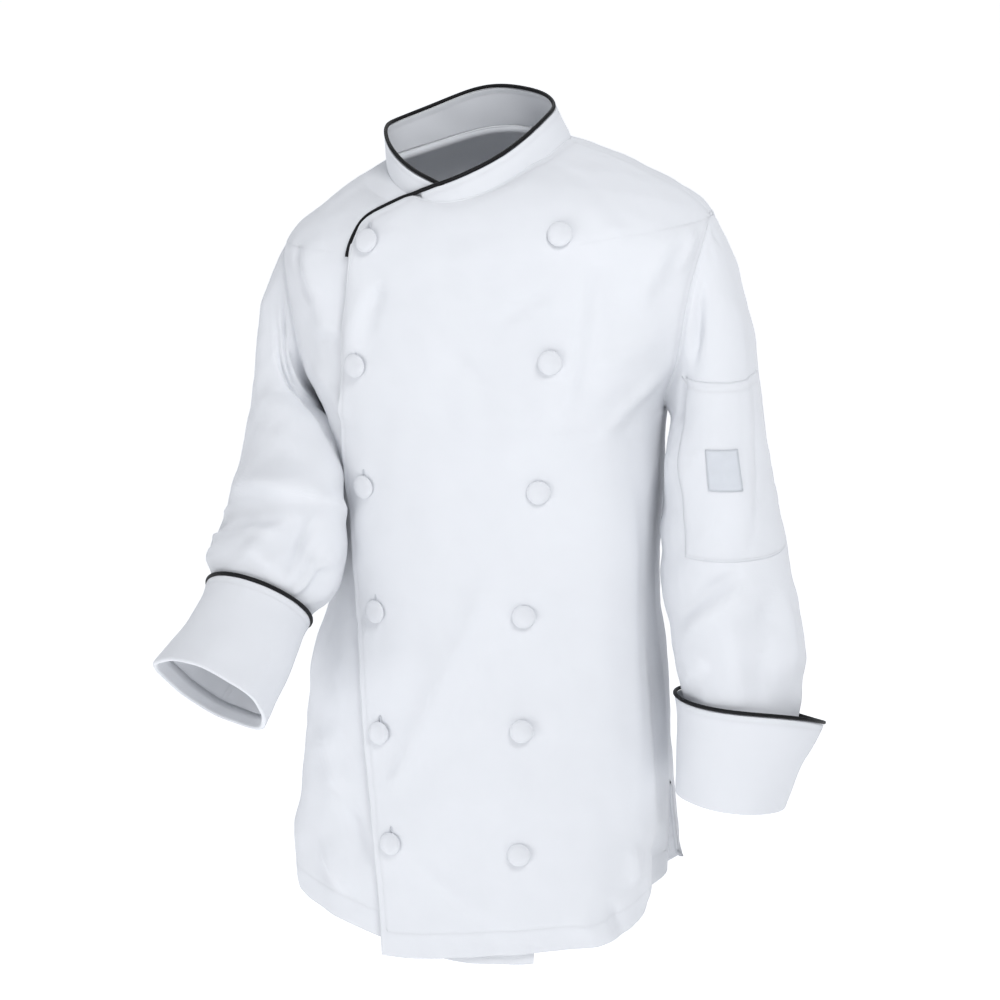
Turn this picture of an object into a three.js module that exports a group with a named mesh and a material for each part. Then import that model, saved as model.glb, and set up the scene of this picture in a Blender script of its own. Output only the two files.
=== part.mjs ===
// A chef's jacket in the hollow shape that it has when it is worn: double-breasted, stand collar,
// cloth-covered buttons, turned-back cuffs, black piping and a pen pocket on the left sleeve.
// Millimetres, +Z up. The front faces -Y and the wearer's left is +X. The origin is the middle of
// the neck hole, at the mean height where the shoulder seams reach the collar.
import * as THREE from 'three';

// Driving dimensions
const WALL = 1.6;            // body cloth with its turned edges
const SEAM = 0.3;            // gap between two pieces that are sewn together
const LAP = 2.8;             // air between the two fronts, and under the collar's upper end
const COLLAR_WALL = 2.6;     // two layers and their interlining
const CUFF_WALL = 2.4;       // the sleeve end doubled back on itself
const POCKET_WALL = 1.2;
const LABEL_WALL = 0.8;
const SEAT = 0.4;            // gap under a piece that is sewn flat on a panel
const PIPING_RADIUS = 1.9;
const BUTTON_RADIUS = 11.5;
const BUTTON_HEIGHT = 5.6;
const VENT_WAY = 130;        // height of the side vents, along the side from the hem
const VENT_FLARE = 13;       // how far the back's free edge stands out at a vent
const DEGREE = Math.PI / 180;

// Rings of the body cloth, from under the hem to the collar seam: heights at front, side and back,
// half width, depth to the front and to the back, squareness of the ring (2 is an ellipse), shift
// to the wearer's left, and how much the left side rises for each millimetre of width.
const TORSO = [
  { front: -812, side: -801, back: -792, wide: 195, fore: 149, aft: 126, square: 2.4, shift: -17, rise: 0.030 },
  { front: -785, side: -774, back: -766, wide: 194, fore: 148, aft: 125, square: 2.4, shift: -16, rise: 0.030 },
  { front: -668, side: -656, back: -654, wide: 192, fore: 141, aft: 121, square: 2.35, shift: -13, rise: 0.050 },
  { front: -556, side: -550, back: -550, wide: 184, fore: 133, aft: 113, square: 2.3, shift: -11, rise: 0.048 },
  { front: -448, side: -446, back: -446, wide: 165, fore: 127, aft: 105, square: 2.3, shift: -4, rise: 0.045 },
  { front: -350, side: -350, back: -350, wide: 164, fore: 126, aft: 107, square: 2.35, shift: -1, rise: 0.050 },
  { front: -256, side: -258, back: -256, wide: 168, fore: 127, aft: 112, square: 2.35, shift: -1, rise: 0.065 },
  { front: -192, side: -202, back: -190, wide: 196, fore: 124, aft: 116, square: 2.3, shift: 0, rise: 0.075 },
  { front: -130, side: -140, back: -124, wide: 212, fore: 119, aft: 118, square: 2.25, shift: -1, rise: 0.080 },
  { front: -92, side: -78, back: -56, wide: 210, fore: 113, aft: 111, square: 2.2, shift: -3, rise: 0.092 },
  { front: -66, side: -33, back: -17, wide: 150, fore: 106, aft: 90, square: 2.15, shift: -11, rise: 0.113 },
  { front: -41, side: -3, back: 10, wide: 89, fore: 98, aft: 62, square: 2, shift: -20, rise: 0.130 },
];
const HEM_RING = 1;
const UNDERARM_RING = 6;
const TIP_RING = 9;

// The front closing from the top button to the hem: the height, the left front's edge and the right
// front's hidden one there, then the two columns of buttons. Places are to the left of the middle.
const CLOSING = [
  { height: -67, edge: -115, under: 104, near: -100.6, nearUp: -80, far: 86, farUp: -65 },
  { height: -189, edge: -127, under: 103, near: -111, nearUp: -198, far: 82, farUp: -180 },
  { height: -310, edge: -127, under: 98, near: -105, nearUp: -318, far: 70, farUp: -308 },
  { height: -432, edge: -118, under: 88, near: -95.5, nearUp: -442, far: 57, farUp: -430 },
  { height: -553, edge: -106, under: 82, near: -87, nearUp: -562, far: 57, farUp: -544 },
  { height: -675, edge: -92, under: 78, near: -73, nearUp: -673, far: 57, farUp: -671 },
  { height: -790, edge: -83, under: 72, near: -66, nearUp: -790, far: 57, farUp: -790 },
];
const BUTTON_ROWS = 6;
const LAP_REACH = 116;       // the left front lies over the right one up to here on the chest,
const LAP_REACH_AT_NECK = 44; // and up to here at the collar

// The left front's neck edge as seen from the front: it slants from the collar's end to a round
// corner at the top of the front edge, and its piping runs a little way down that edge.
const SLANT = [
  { x: -116, height: -86 },
  { x: -111, height: -69 },
  { x: -101, height: -60 },
  { x: -88, height: -53 },
  { x: -68, height: -43 },
  { x: -50, height: -33 },
  { x: -36, height: -25 },
];
const PIPING_FOOT = -99;
const UNDER_SLANT = { stretch: 0.73, shift: 43 };

// Collar sections by their angle round the neck, from the upper end on the left front over the
// back to the under end: height of the band, and how far it stands off the neck seam's own form.
const COLLAR = [
  { angle: -17, height: 5, lift: 3.8 },
  { angle: -6, height: 13, lift: 3.8 },
  { angle: 12, height: 19, lift: 3.8 },
  { angle: 38, height: 22, lift: 2.2 },
  { angle: 66, height: 27, lift: 0.6 },
  { angle: 90, height: 32, lift: 0 },
  { angle: 180, height: 36, lift: 0 },
  { angle: 270, height: 30, lift: 0 },
  { angle: 318, height: 28, lift: -0.9 },
  { angle: 342, height: 21, lift: -1 },
  { angle: 354, height: 14, lift: -1 },
  { angle: 362, height: 6, lift: -1 },
];
const COLLAR_LEAN = 0.20;    // how far the band leans in for each millimetre of its height
const COLLAR_TURN = 0.16;    // how far it leans to the wearer's right

// Armholes, as an oval round the side seam in the ring's angle.
const ARMHOLE_FRONT = 15 * DEGREE;
const ARMHOLE_BACK = 16 * DEGREE;

// Sleeve sections: the middle of the ring, its half width across the arm and its half depth from
// front to back, from just under the armhole to the turned edge at the mouth. A skewed ring leans
// in at the front and out at the back, where the sleeve lies against the body.
const LEFT_SLEEVE = [
  { x: 220, y: -12, z: -283, across: 49, deep: 68, skew: 0 },
  { x: 226, y: -15, z: -330, across: 53, deep: 69, skew: 0 },
  { x: 236, y: -20, z: -405, across: 60, deep: 69, skew: 0 },
  { x: 247, y: -26, z: -468, across: 63, deep: 66, skew: 0 },
  { x: 255, y: -33, z: -530, across: 56, deep: 61, skew: 0 },
  { x: 252, y: -41, z: -582, across: 52, deep: 57, skew: 0 },
  { x: 248, y: -46, z: -625, across: 52, deep: 54, skew: 0 },
];
const RIGHT_SLEEVE = [
  { x: -212, y: -28, z: -283, across: 41, deep: 64, skew: 0.18 },
  { x: -205, y: -72, z: -336, across: 52, deep: 66, skew: 0.45 },
  { x: -199, y: -102, z: -384, across: 65, deep: 66, skew: 0.30 },
  { x: -201, y: -124, z: -413, across: 68, deep: 64, skew: 0.15 },
  { x: -206, y: -141, z: -436, across: 46.5, deep: 54, skew: 0 },
  { x: -214, y: -174, z: -469, across: 50, deep: 54, skew: 0 },
  { x: -228, y: -211, z: -503, across: 58, deep: 58, skew: 0 },
];

// How far a turned-back cuff stands off its sleeve, from the fold at the mouth to its free edge:
// all round, and more at the outer back and on the inside of the left one. Its free edge droops
// behind and rises on the inside.
const CUFF_STAND = [
  { share: 0, round: 2.9, behind: 0, inside: 0 },
  { share: 0.35, round: 3.8, behind: 7, inside: 3 },
  { share: 0.7, round: 4.8, behind: 16, inside: 4 },
  { share: 1, round: 6, behind: 23, inside: 4 },
];
const CUFF_DROOP = 0.24;
const CUFF_RISE = 0.09;

// Broad folds of the body cloth, as soft ridges between two places on the front or the back
// (turn is the angle from the middle of the front, up the height of the place), with the half
// width of the ridge and how high it stands.
const BODY_FOLDS = [
  { turn: 28, up: -262, endTurn: 62, endUp: -170, width: 30, height: 4 },
  { turn: -46, up: -330, endTurn: -72, endUp: -215, width: 26, height: 4 },
  { turn: 20, up: -540, endTurn: -22, endUp: -690, width: 38, height: 4 },
  { turn: 70, up: -600, endTurn: 62, endUp: -780, width: 26, height: 5 },
  { turn: -66, up: -560, endTurn: -60, endUp: -780, width: 28, height: 6 },
  { turn: 128, up: -300, endTurn: 152, endUp: -460, width: 34, height: 5 },
  { turn: 232, up: -310, endTurn: 206, endUp: -480, width: 34, height: 5 },
  { turn: 140, up: -560, endTurn: 132, endUp: -775, width: 34, height: 6 },
  { turn: 198, up: -590, endTurn: 204, endUp: -775, width: 38, height: 5 },
];

// Broad folds of the sleeves: how far down the sleeve (0 at the armhole, 1 at the mouth) and where
// round it (0 outside, 90 in front, 180 inside, 270 behind), how far they run down for each degree
// round, half width down and round, and height.
const LEFT_FOLDS = [
  { down: 0.30, turn: 120, slant: 0.0006, width: 0.045, spread: 40, height: 4 },
  { down: 0.60, turn: 95, slant: 0.0010, width: 0.040, spread: 50, height: 5 },
  { down: 0.70, turn: 30, slant: -0.0012, width: 0.045, spread: 45, height: 5 },
  { down: 0.60, turn: 250, slant: -0.0006, width: 0.040, spread: 45, height: -4 },
];
const RIGHT_FOLDS = [
  { down: 0.33, turn: 80, slant: 0.0010, width: 0.045, spread: 40, height: 5 },
  { down: 0.50, turn: 85, slant: 0.0006, width: 0.035, spread: 55, height: 8 },
  { down: 0.59, turn: 105, slant: 0.0002, width: 0.030, spread: 50, height: -7 },
  { down: 0.60, turn: 175, slant: 0.0010, width: 0.040, spread: 32, height: 6 },
  { down: 0.52, turn: 250, slant: 0, width: 0.060, spread: 40, height: 3 },
  { down: 0.70, turn: 325, slant: 0, width: 0.060, spread: 35, height: -9 },
];

// How finely the cloth is divided
const BODY_ROWS = 10;        // hem to underarm
const ARMHOLE_ROWS = 9;      // up one side of an armhole
const SHOULDER_ROWS = 4;     // shoulder tip to collar
const FRONT_COLUMNS = 15;
const BACK_COLUMNS = 18;
const COLLAR_COLUMNS = 28;
const COLLAR_ROWS = 3;
const CAP_ROWS = 5;          // armhole to the first sleeve section
const SLEEVE_ROWS = 13;
const CUFF_ROWS = 4;
const PIPING_SIDES = 6;

// Pen pocket and label on the left sleeve, from the sleeve's outermost column to its front
const POCKET = { top: -205, bottom: -374, columns: [0, 1, 2, 3, 4, 5, 6] };
const LABEL = { top: -266, bottom: -305, columns: [2.85, 3, 4, 4.4] };

// Materials
const cloth = new THREE.MeshStandardMaterial({ color: 0xf0f2f5, roughness: 0.85, metalness: 0 });
const piping = new THREE.MeshStandardMaterial({ color: 0x17181c, roughness: 0.6, metalness: 0 });
const label = new THREE.MeshStandardMaterial({ color: 0xdadcdf, roughness: 0.7, metalness: 0 });

// Smooth steps and table reading
function ease(from, to, value) {
  const share = Math.min(1, Math.max(0, (value - from) / (to - from)));
  return share * share * (3 - 2 * share);
}

function slopeAt(table, places, key, row) {
  const low = Math.max(0, row - 1);
  const high = Math.min(table.length - 1, row + 1);
  return (table[high][key] - table[low][key]) / (places[high] - places[low]);
}

// A smooth curve through one column of a table, read at a place along it.
function read(table, places, key, place) {
  let row = 0;
  while (row < table.length - 2 && place > places[row + 1]) row += 1;
  const span = places[row + 1] - places[row];
  const s = (place - places[row]) / span;
  const start = table[row][key];
  const end = table[row + 1][key];
  const startSlope = slopeAt(table, places, key, row) * span;
  const endSlope = slopeAt(table, places, key, row + 1) * span;
  const rest = 1 - s;
  return start * (1 + 2 * s) * rest * rest + startSlope * s * rest * rest
    + end * s * s * (3 - 2 * s) - endSlope * s * s * rest;
}

function distances(table, step) {
  const places = [0];
  for (let row = 1; row < table.length; row += 1) {
    places.push(places[row - 1] + step(table[row - 1], table[row]));
  }
  return places;
}

// The body's form: an angle round the ring (0 is the middle of the front, 90 the left side seam)
// and a way up from the lowest ring.
const torsoWays = distances(TORSO, (low, high) => Math.hypot(high.side - low.side, high.wide - low.wide));
const HEM = torsoWays[HEM_RING];
const UNDERARM = torsoWays[UNDERARM_RING];
const TIP = torsoWays[TIP_RING];
const NECK = torsoWays[torsoWays.length - 1];
const torsoAt = (key, way) => read(TORSO, torsoWays, key, way);

function ringReach(angle, way) {
  const square = torsoAt('square', way);
  const depth = torsoAt(Math.cos(angle) > 0 ? 'fore' : 'aft', way);
  const across = Math.abs(Math.sin(angle)) / torsoAt('wide', way);
  const along = Math.abs(Math.cos(angle)) / depth;
  return (across ** square + along ** square) ** (-1 / square);
}

function plainTorso(angle, way) {
  const reach = ringReach(angle, way);
  const x = reach * Math.sin(angle);
  const side = torsoAt('side', way);
  const middle = torsoAt(Math.cos(angle) > 0 ? 'front' : 'back', way);
  const height = side + (middle - side) * Math.cos(angle) ** 2 + x * torsoAt('rise', way);
  return new THREE.Vector3(x + torsoAt('shift', way), -reach * Math.cos(angle), height);
}

// The height of the broad folds, fading out towards armholes, neck and seams.
function bodyFold(angle, point) {
  const turn = ((angle / DEGREE + 90) % 360 + 360) % 360 - 90;
  let height = 0;
  for (const fold of BODY_FOLDS) {
    const girth = 2.6;       // millimetres of cloth for each degree round
    const runX = (fold.endTurn - fold.turn) * girth;
    const runZ = fold.endUp - fold.up;
    const offX = (turn - fold.turn) * girth;
    const offZ = point.z - fold.up;
    const length = Math.hypot(runX, runZ);
    const along = (offX * runX + offZ * runZ) / length;
    const beside = (offX * runZ - offZ * runX) / length;
    const within = ease(-0.35 * length, 0.25 * length, along) * (1 - ease(0.75 * length, 1.35 * length, along));
    height += fold.height * within * Math.exp(-((beside / fold.width) ** 2));
  }
  const besideSeam = Math.abs(Math.abs(turn - 90) > 90 ? Math.abs(turn - 270) : turn - 90);
  return height * ease(0, 14, besideSeam) * (1 - ease(-150, -90, point.z));
}

function outward(angle, way) {
  const turn = 0.01;
  const rise = 2;
  const across = plainTorso(angle + turn, way).sub(plainTorso(angle - turn, way));
  const up = plainTorso(angle, way + rise).sub(plainTorso(angle, way - rise));
  return across.cross(up).normalize();
}

// A point of the body cloth, which also carries its outward direction.
function torso(angle, way, lift = 0) {
  const point = plainTorso(angle, way);
  const out = outward(angle, way);
  point.addScaledVector(out, lift + bodyFold(angle, point));
  point.out = out;
  return point;
}

// The angle on a ring at a given distance to the left of the middle, on the front.
function frontAngle(x, way) {
  const off = x - torsoAt('shift', way);
  let angle = 0;
  for (let turn = 0; turn < 30; turn += 1) {
    const sine = Math.min(0.999, Math.max(-0.999, off / ringReach(angle, way)));
    angle += (Math.asin(sine) - angle) * 0.7;
  }
  return angle;
}

// The way up to a height, at a distance to the left of the middle of the front.
function frontWay(x, height) {
  let low = 0;
  let high = NECK;
  for (let turn = 0; turn < 30; turn += 1) {
    const middle = (low + high) / 2;
    if (plainTorso(frontAngle(x, middle), middle).z < height) low = middle;
    else high = middle;
  }
  return (low + high) / 2;
}

const closingWays = CLOSING.map((row) => frontWay(row.edge, row.height)).reverse();
const closingRows = [...CLOSING].reverse();
const closingAt = (key, way) => read(closingRows, closingWays, key, way);
const edgeAngle = (way) => frontAngle(closingAt('edge', way), way);
const underAngle = (way) => frontAngle(closingAt('under', way), way);

// An armhole's edge at a share of the way up from the underarm to the shoulder tip: its way on
// the body, and how much of the armhole's depth it takes off there.
function armholeStep(share) {
  const up = 0.5 * share + 0.25 * (1 - Math.cos(Math.PI * share));
  return { way: UNDERARM + (TIP - UNDERARM) * up, cut: Math.sqrt(Math.max(0, 1 - (2 * up - 1) ** 2)) };
}

// Rows of the body panels, from the hem to the neck, with the angle that the armhole takes off.
function bodyRows(hollow) {
  const rows = [];
  for (let row = 0; row < BODY_ROWS; row += 1) {
    rows.push({ way: HEM + (UNDERARM - HEM) * row / BODY_ROWS, cut: 0 });
  }
  for (let row = 0; row <= ARMHOLE_ROWS; row += 1) {
    const { way, cut } = armholeStep(row / ARMHOLE_ROWS);
    rows.push({ way, cut: hollow * cut });
  }
  for (let row = 1; row <= SHOULDER_ROWS; row += 1) {
    rows.push({ way: TIP + (NECK - SEAM - TIP) * row / SHOULDER_ROWS, cut: 0 });
  }
  return rows;
}

// The side or shoulder seam's angle, less half the seam's gap
const seamHalf = (way) => SEAM / 2 / torsoAt('wide', way);

// The slanting neck edge's height at a distance to the left; beyond its ends it doesn't cut.
const slantPlaces = SLANT.map((row) => row.x);
function slantHeight(x) {
  if (x > slantPlaces[slantPlaces.length - 1]) return Infinity;
  return read(SLANT, slantPlaces, 'height', Math.max(slantPlaces[0], x));
}

// The angle at a share of the way from a front's free edge to its side seam.
function shareAngle(side, way, share, cut = 0) {
  const free = side > 0 ? edgeAngle(way) : -underAngle(way);
  return free + (Math.PI / 2 - cut - seamHalf(way) - free) * share;
}

// The top of a front's column: the collar seam, or the slanting edge where that is lower.
function topWay(side, share) {
  let low = UNDERARM;
  let high = NECK - SEAM;
  const over = (way) => {
    const point = plainTorso(side * shareAngle(side, way, share), way);
    const x = side > 0 ? point.x : -UNDER_SLANT.stretch * point.x - UNDER_SLANT.shift;
    return point.z > slantHeight(x);
  };
  if (!over(high)) return high;
  for (let turn = 0; turn < 30; turn += 1) {
    const middle = (low + high) / 2;
    if (over(middle)) high = middle;
    else low = middle;
  }
  return low;
}

// One front, as a grid from its free edge (column 0) to its side seam. side is 1 for the left
// front, which lies on top, and -1 for the right one. Only the lowest row follows the hem, and
// only the rows above the underarm close up under the slanting edge.
function frontGrid(side) {
  const grid = bodyRows(ARMHOLE_FRONT).map(() => []);
  for (let column = 0; column <= FRONT_COLUMNS; column += 1) {
    const share = (column / FRONT_COLUMNS) ** 0.95;
    const squeeze = (topWay(side, share) - UNDERARM) / (NECK - SEAM - UNDERARM);
    bodyRows(ARMHOLE_FRONT).forEach(({ way, cut }, row) => {
      let height = way > UNDERARM ? UNDERARM + (way - UNDERARM) * squeeze : way;
      if (row === 0) height += hemRise(side, share);
      const angle = shareAngle(side, height, share, cut);
      grid[row].push(torso(side * angle, height, frontLift(side, angle, height)));
    });
  }
  return grid;
}

// How much a front's lowest row rises above the hem ring: the corners at the closing hang a
// little lower, and the hem rises towards the vents, in a rounded corner on the left.
function hemRise(side, share) {
  const corner = 1 - ease(0, side > 0 ? 0.3 : 0.45, share);
  return side > 0 ? 32 * ease(0.66, 1, share) - 9 * corner : 26 * ease(0.2, 1, share) - 13 * corner;
}

// The left front is lifted over the right one as far as the lap reaches.
function frontLift(side, angle, way) {
  if (side < 0) return 0;
  const reach = LAP_REACH + (LAP_REACH_AT_NECK - LAP_REACH) * ease(TIP, NECK, way);
  const outer = frontAngle(reach, way);
  return (WALL + LAP) * (1 - ease(outer, outer + 20 * DEGREE, angle));
}

// The back, as a grid from the left side seam to the right one.
function backGrid() {
  const grid = [];
  for (const { way, cut } of bodyRows(ARMHOLE_BACK)) {
    const row = [];
    const first = Math.PI / 2 + cut + seamHalf(way);
    const last = 1.5 * Math.PI - cut - seamHalf(way);
    for (let column = 0; column <= BACK_COLUMNS; column += 1) {
      const angle = first + (last - first) * column / BACK_COLUMNS;
      const fromSeam = Math.min(angle - first, last - angle);
      const beside = 1 - ease(0, 28 * DEGREE, fromSeam);
      const free = (1 - ease(HEM, HEM + VENT_WAY, way)) * beside;
      const rise = way > HEM ? 0 : (angle < Math.PI ? 48 : 14) * beside;
      row.push(torso(angle, way + rise, VENT_FLARE * free));
    }
    grid.push(row);
  }
  return grid;
}

// A closed piece of cloth: a grid of points on its outer face and the same grid set back by the
// wall. outer is 1 where columns turned towards rows give the outward direction, else -1. In a
// ring the last column meets the first.
function clothGeometry(grid, wall, outer = 1, ring = false) {
  const rows = grid.length;
  const columns = grid[0].length;
  const near = (row, column) => {
    const r = Math.min(rows - 1, Math.max(0, row));
    const c = ring ? (column + columns) % columns : Math.min(columns - 1, Math.max(0, column));
    return grid[r][c];
  };
  const positions = [];
  const inside = [];
  for (let row = 0; row < rows; row += 1) {
    for (let column = 0; column < columns; column += 1) {
      const point = near(row, column);
      const across = near(row, column + 1).clone().sub(near(row, column - 1));
      const along = near(row + 1, column).clone().sub(near(row - 1, column));
      const normal = point.out ?? across.cross(along).normalize().multiplyScalar(outer);
      positions.push(...point.toArray());
      inside.push(...point.clone().addScaledVector(normal, -wall).toArray());
    }
  }
  const back = rows * columns;
  const place = (row, column) => row * columns + (ring ? column % columns : column);
  const faces = [];
  const quad = (a, b, c, d) => {
    if (outer > 0) faces.push(a, b, c, a, c, d);
    else faces.push(a, c, b, a, d, c);
  };
  const lastColumn = ring ? columns : columns - 1;
  for (let row = 0; row < rows - 1; row += 1) {
    for (let column = 0; column < lastColumn; column += 1) {
      const a = place(row, column);
      const b = place(row, column + 1);
      const c = place(row + 1, column + 1);
      const d = place(row + 1, column);
      quad(a, b, c, d);
      quad(back + a, back + d, back + c, back + b);
    }
  }
  for (let column = 0; column < lastColumn; column += 1) {
    const start = place(0, column);
    const next = place(0, column + 1);
    quad(start, back + start, back + next, next);
    const end = place(rows - 1, column);
    const after = place(rows - 1, column + 1);
    quad(end, after, back + after, back + end);
  }
  if (!ring) {
    for (let row = 0; row < rows - 1; row += 1) {
      const start = place(row, 0);
      const above = place(row + 1, 0);
      quad(start, above, back + above, back + start);
      const end = place(row, columns - 1);
      const over = place(row + 1, columns - 1);
      quad(end, back + end, back + over, over);
    }
  }
  const geometry = new THREE.BufferGeometry();
  geometry.setAttribute('position', new THREE.Float32BufferAttribute([...positions, ...inside], 3));
  geometry.setIndex(faces);
  geometry.computeVertexNormals();
  return geometry;
}

// Collar band
const collarPlaces = COLLAR.map((row) => row.angle);
const collarAt = (key, degrees) => read(COLLAR, collarPlaces, key, degrees);

function collarPoint(degrees, share) {
  const angle = degrees * DEGREE;
  const height = collarAt('height', degrees) * share;
  const point = torso(angle, NECK, collarAt('lift', degrees)).clone();
  const away = new THREE.Vector3(Math.sin(angle), -Math.cos(angle), 0);
  const up = new THREE.Vector3(-torsoAt('rise', NECK) - COLLAR_TURN, 0, 1).normalize();
  return point.addScaledVector(away, -COLLAR_LEAN * height).addScaledVector(up, height + 3 * SEAM);
}

function collarGrid() {
  const first = COLLAR[0].angle;
  const last = COLLAR[COLLAR.length - 1].angle;
  const grid = [];
  for (let row = 0; row <= COLLAR_ROWS; row += 1) {
    const points = [];
    for (let column = 0; column <= COLLAR_COLUMNS; column += 1) {
      const degrees = first + (last - first) * column / COLLAR_COLUMNS;
      points.push(collarPoint(degrees, row / COLLAR_ROWS));
    }
    grid.push(points);
  }
  return grid;
}

// A round cord along a row of points
function cordGeometry(points, radius, steps) {
  const path = new THREE.CatmullRomCurve3(points, false, 'centripetal');
  const section = new THREE.Shape();
  for (let side = 0; side < PIPING_SIDES; side += 1) {
    const turn = 2 * Math.PI * side / PIPING_SIDES;
    if (side === 0) section.moveTo(radius, 0);
    else section.lineTo(radius * Math.cos(turn), radius * Math.sin(turn));
  }
  section.closePath();
  return new THREE.ExtrudeGeometry(section, { steps, bevelEnabled: false, extrudePath: path });
}

// Points just past an edge of a grid, in line with the cloth and in the middle of its wall.
function pastEdge(edge, before, wall, gap) {
  return edge.map((point, index) => {
    const past = point.clone().sub(before[index]).normalize();
    const next = edge[Math.min(edge.length - 1, index + 1)].clone();
    const along = next.sub(edge[Math.max(0, index - 1)]).normalize();
    const level = past.clone().cross(along).normalize();
    const square = along.clone().cross(level).normalize();
    if (square.dot(past) < 0) square.negate();
    return point.clone().addScaledVector(level, wall / 2).addScaledVector(square, gap);
  });
}

// Sleeves: a cap that runs from the armhole to the first section, then the arm's sections.
function armholePoint(side, turn) {
  const front = turn <= Math.PI;
  const { way, cut } = armholeStep(Math.abs(1 - turn / Math.PI));
  const angle = Math.PI / 2 + (front ? -ARMHOLE_FRONT : ARMHOLE_BACK) * cut;
  return torso(side * angle, way).clone();
}

function sleeveFrame(sections, places, place) {
  const middle = new THREE.Vector3(...['x', 'y', 'z'].map((key) => read(sections, places, key, place)));
  const step = 4;
  const ahead = new THREE.Vector3(...['x', 'y', 'z'].map((key) => read(sections, places, key, place + step)
    - read(sections, places, key, place - step))).normalize();
  return { middle, ahead };
}

function sleeveGrid(side, sections, folds) {
  const places = distances(sections, (a, b) => Math.hypot(b.x - a.x, b.y - a.y, b.z - a.z));
  const length = places[places.length - 1];
  const columns = 2 * ARMHOLE_ROWS;
  const ringPoint = (place, turn) => {
    const { middle, ahead } = sleeveFrame(sections, places, place);
    const outside = new THREE.Vector3(side, 0, 0);
    outside.addScaledVector(ahead, -outside.dot(ahead)).normalize();
    const front = ahead.clone().cross(outside).multiplyScalar(side).normalize();
    const forward = read(sections, places, 'deep', place) * Math.sin(turn);
    const skew = read(sections, places, 'skew', place) * forward;
    return middle.addScaledVector(outside, read(sections, places, 'across', place) * Math.cos(turn) - skew)
      .addScaledVector(front, forward);
  };
  const capPoint = (share, turn) => {
    const start = armholePoint(side, turn);
    const outside = Math.cos(turn);
    const leave = new THREE.Vector3(side * 0.5, -0.2 * Math.sin(turn), -0.8 + 0.1 * (1 - outside)).normalize();
    start.addScaledVector(leave, 3.5 * SEAM);
    const end = ringPoint(0, turn);
    const arrive = ringPoint(6, turn).sub(ringPoint(0, turn)).normalize();
    const reach = start.distanceTo(end) * 0.95;
    const rest = 1 - share;
    return start.multiplyScalar((1 + 2 * share) * rest * rest)
      .addScaledVector(leave, reach * share * rest * rest)
      .addScaledVector(end, share * share * (3 - 2 * share))
      .addScaledVector(arrive, -reach * share * share * rest);
  };
  const grid = [];
  for (let row = 0; row < CAP_ROWS + SLEEVE_ROWS; row += 1) {
    const points = [];
    for (let column = 0; column < columns; column += 1) {
      const turn = 2 * Math.PI * column / columns;
      const arm = length * (row - CAP_ROWS) / (SLEEVE_ROWS - 1);
      points.push(row < CAP_ROWS ? capPoint(row / CAP_ROWS, turn) : ringPoint(Math.max(0, arm), turn));
    }
    grid.push(points);
  }
  return foldSleeve(grid, folds, side);
}

// Moves a sleeve's points in or out for its folds, fading out at the armhole and under the cuff.
function foldSleeve(grid, folds, side) {
  const rows = grid.length;
  const columns = grid[0].length;
  return grid.map((points, row) => points.map((point, column) => {
    const down = row / (rows - 1);
    const turn = 360 * column / columns;
    let height = 0;
    for (const fold of folds) {
      const round = ((turn - fold.turn + 540) % 360) - 180;
      const off = down - fold.down - fold.slant * round;
      height += fold.height * Math.exp(-((off / fold.width) ** 2) - (round / fold.spread) ** 2);
    }
    height *= ease(0.05, 0.2, down) * (1 - ease(0.72, 0.82, down));
    const across = points[(column + 1) % columns].clone().sub(points[(column + columns - 1) % columns]);
    const along = grid[Math.min(rows - 1, row + 1)][column].clone().sub(grid[Math.max(0, row - 1)][column]);
    const normal = across.cross(along).normalize().multiplyScalar(side);
    return point.clone().addScaledVector(normal, height);
  }));
}

// A turned-back cuff: a ring that starts at the sleeve's mouth and runs back over it.
function cuffGrid(side, sections, flare, height) {
  const places = distances(sections, (a, b) => Math.hypot(b.x - a.x, b.y - a.y, b.z - a.z));
  const length = places[places.length - 1];
  const shares = CUFF_STAND.map((row) => row.share);
  const grid = [];
  for (let row = 0; row <= CUFF_ROWS; row += 1) {
    const share = row / CUFF_ROWS;
    const points = [];
    for (let column = 0; column < 2 * ARMHOLE_ROWS; column += 1) {
      const turn = 2 * Math.PI * column / (2 * ARMHOLE_ROWS);
      const behind = flare * ((1 + Math.cos(turn + Math.PI / 5)) / 2) ** 2;
      const droop = flare * ((1 + Math.cos(turn + Math.PI / 3)) / 2) ** 2;
      const inside = flare * ((1 - Math.cos(turn)) / 2) ** 2;
      const place = length + 1.5 - height * share * (1 - CUFF_DROOP * droop + CUFF_RISE * inside);
      const { middle, ahead } = sleeveFrame(sections, places, place);
      const outside = new THREE.Vector3(side, 0, 0);
      outside.addScaledVector(ahead, -outside.dot(ahead)).normalize();
      const front = ahead.clone().cross(outside).multiplyScalar(side).normalize();
      const stand = read(CUFF_STAND, shares, 'round', share)
        + read(CUFF_STAND, shares, 'behind', share) * behind
        + read(CUFF_STAND, shares, 'inside', share) * inside;
      points.push(middle.clone()
        .addScaledVector(outside, (read(sections, places, 'across', place) + stand) * Math.cos(turn))
        .addScaledVector(front, (read(sections, places, 'deep', place) + stand) * Math.sin(turn)));
    }
    grid.push(points);
  }
  return grid;
}

// A point on a grid's facets between its rows and columns
function between(grid, row, column) {
  const r = Math.min(grid.length - 2, Math.floor(row));
  const c = Math.min(grid[0].length - 2, Math.floor(column));
  const u = column - c;
  const v = row - r;
  const corner = grid[r][c];
  const far = grid[r + 1][c + 1];
  const turn = u > v ? grid[r][c + 1] : grid[r + 1][c];
  const [first, second] = u > v ? [u, v] : [v, u];
  return corner.clone().addScaledVector(turn.clone().sub(corner), first)
    .addScaledVector(far.clone().sub(turn), second);
}

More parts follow.
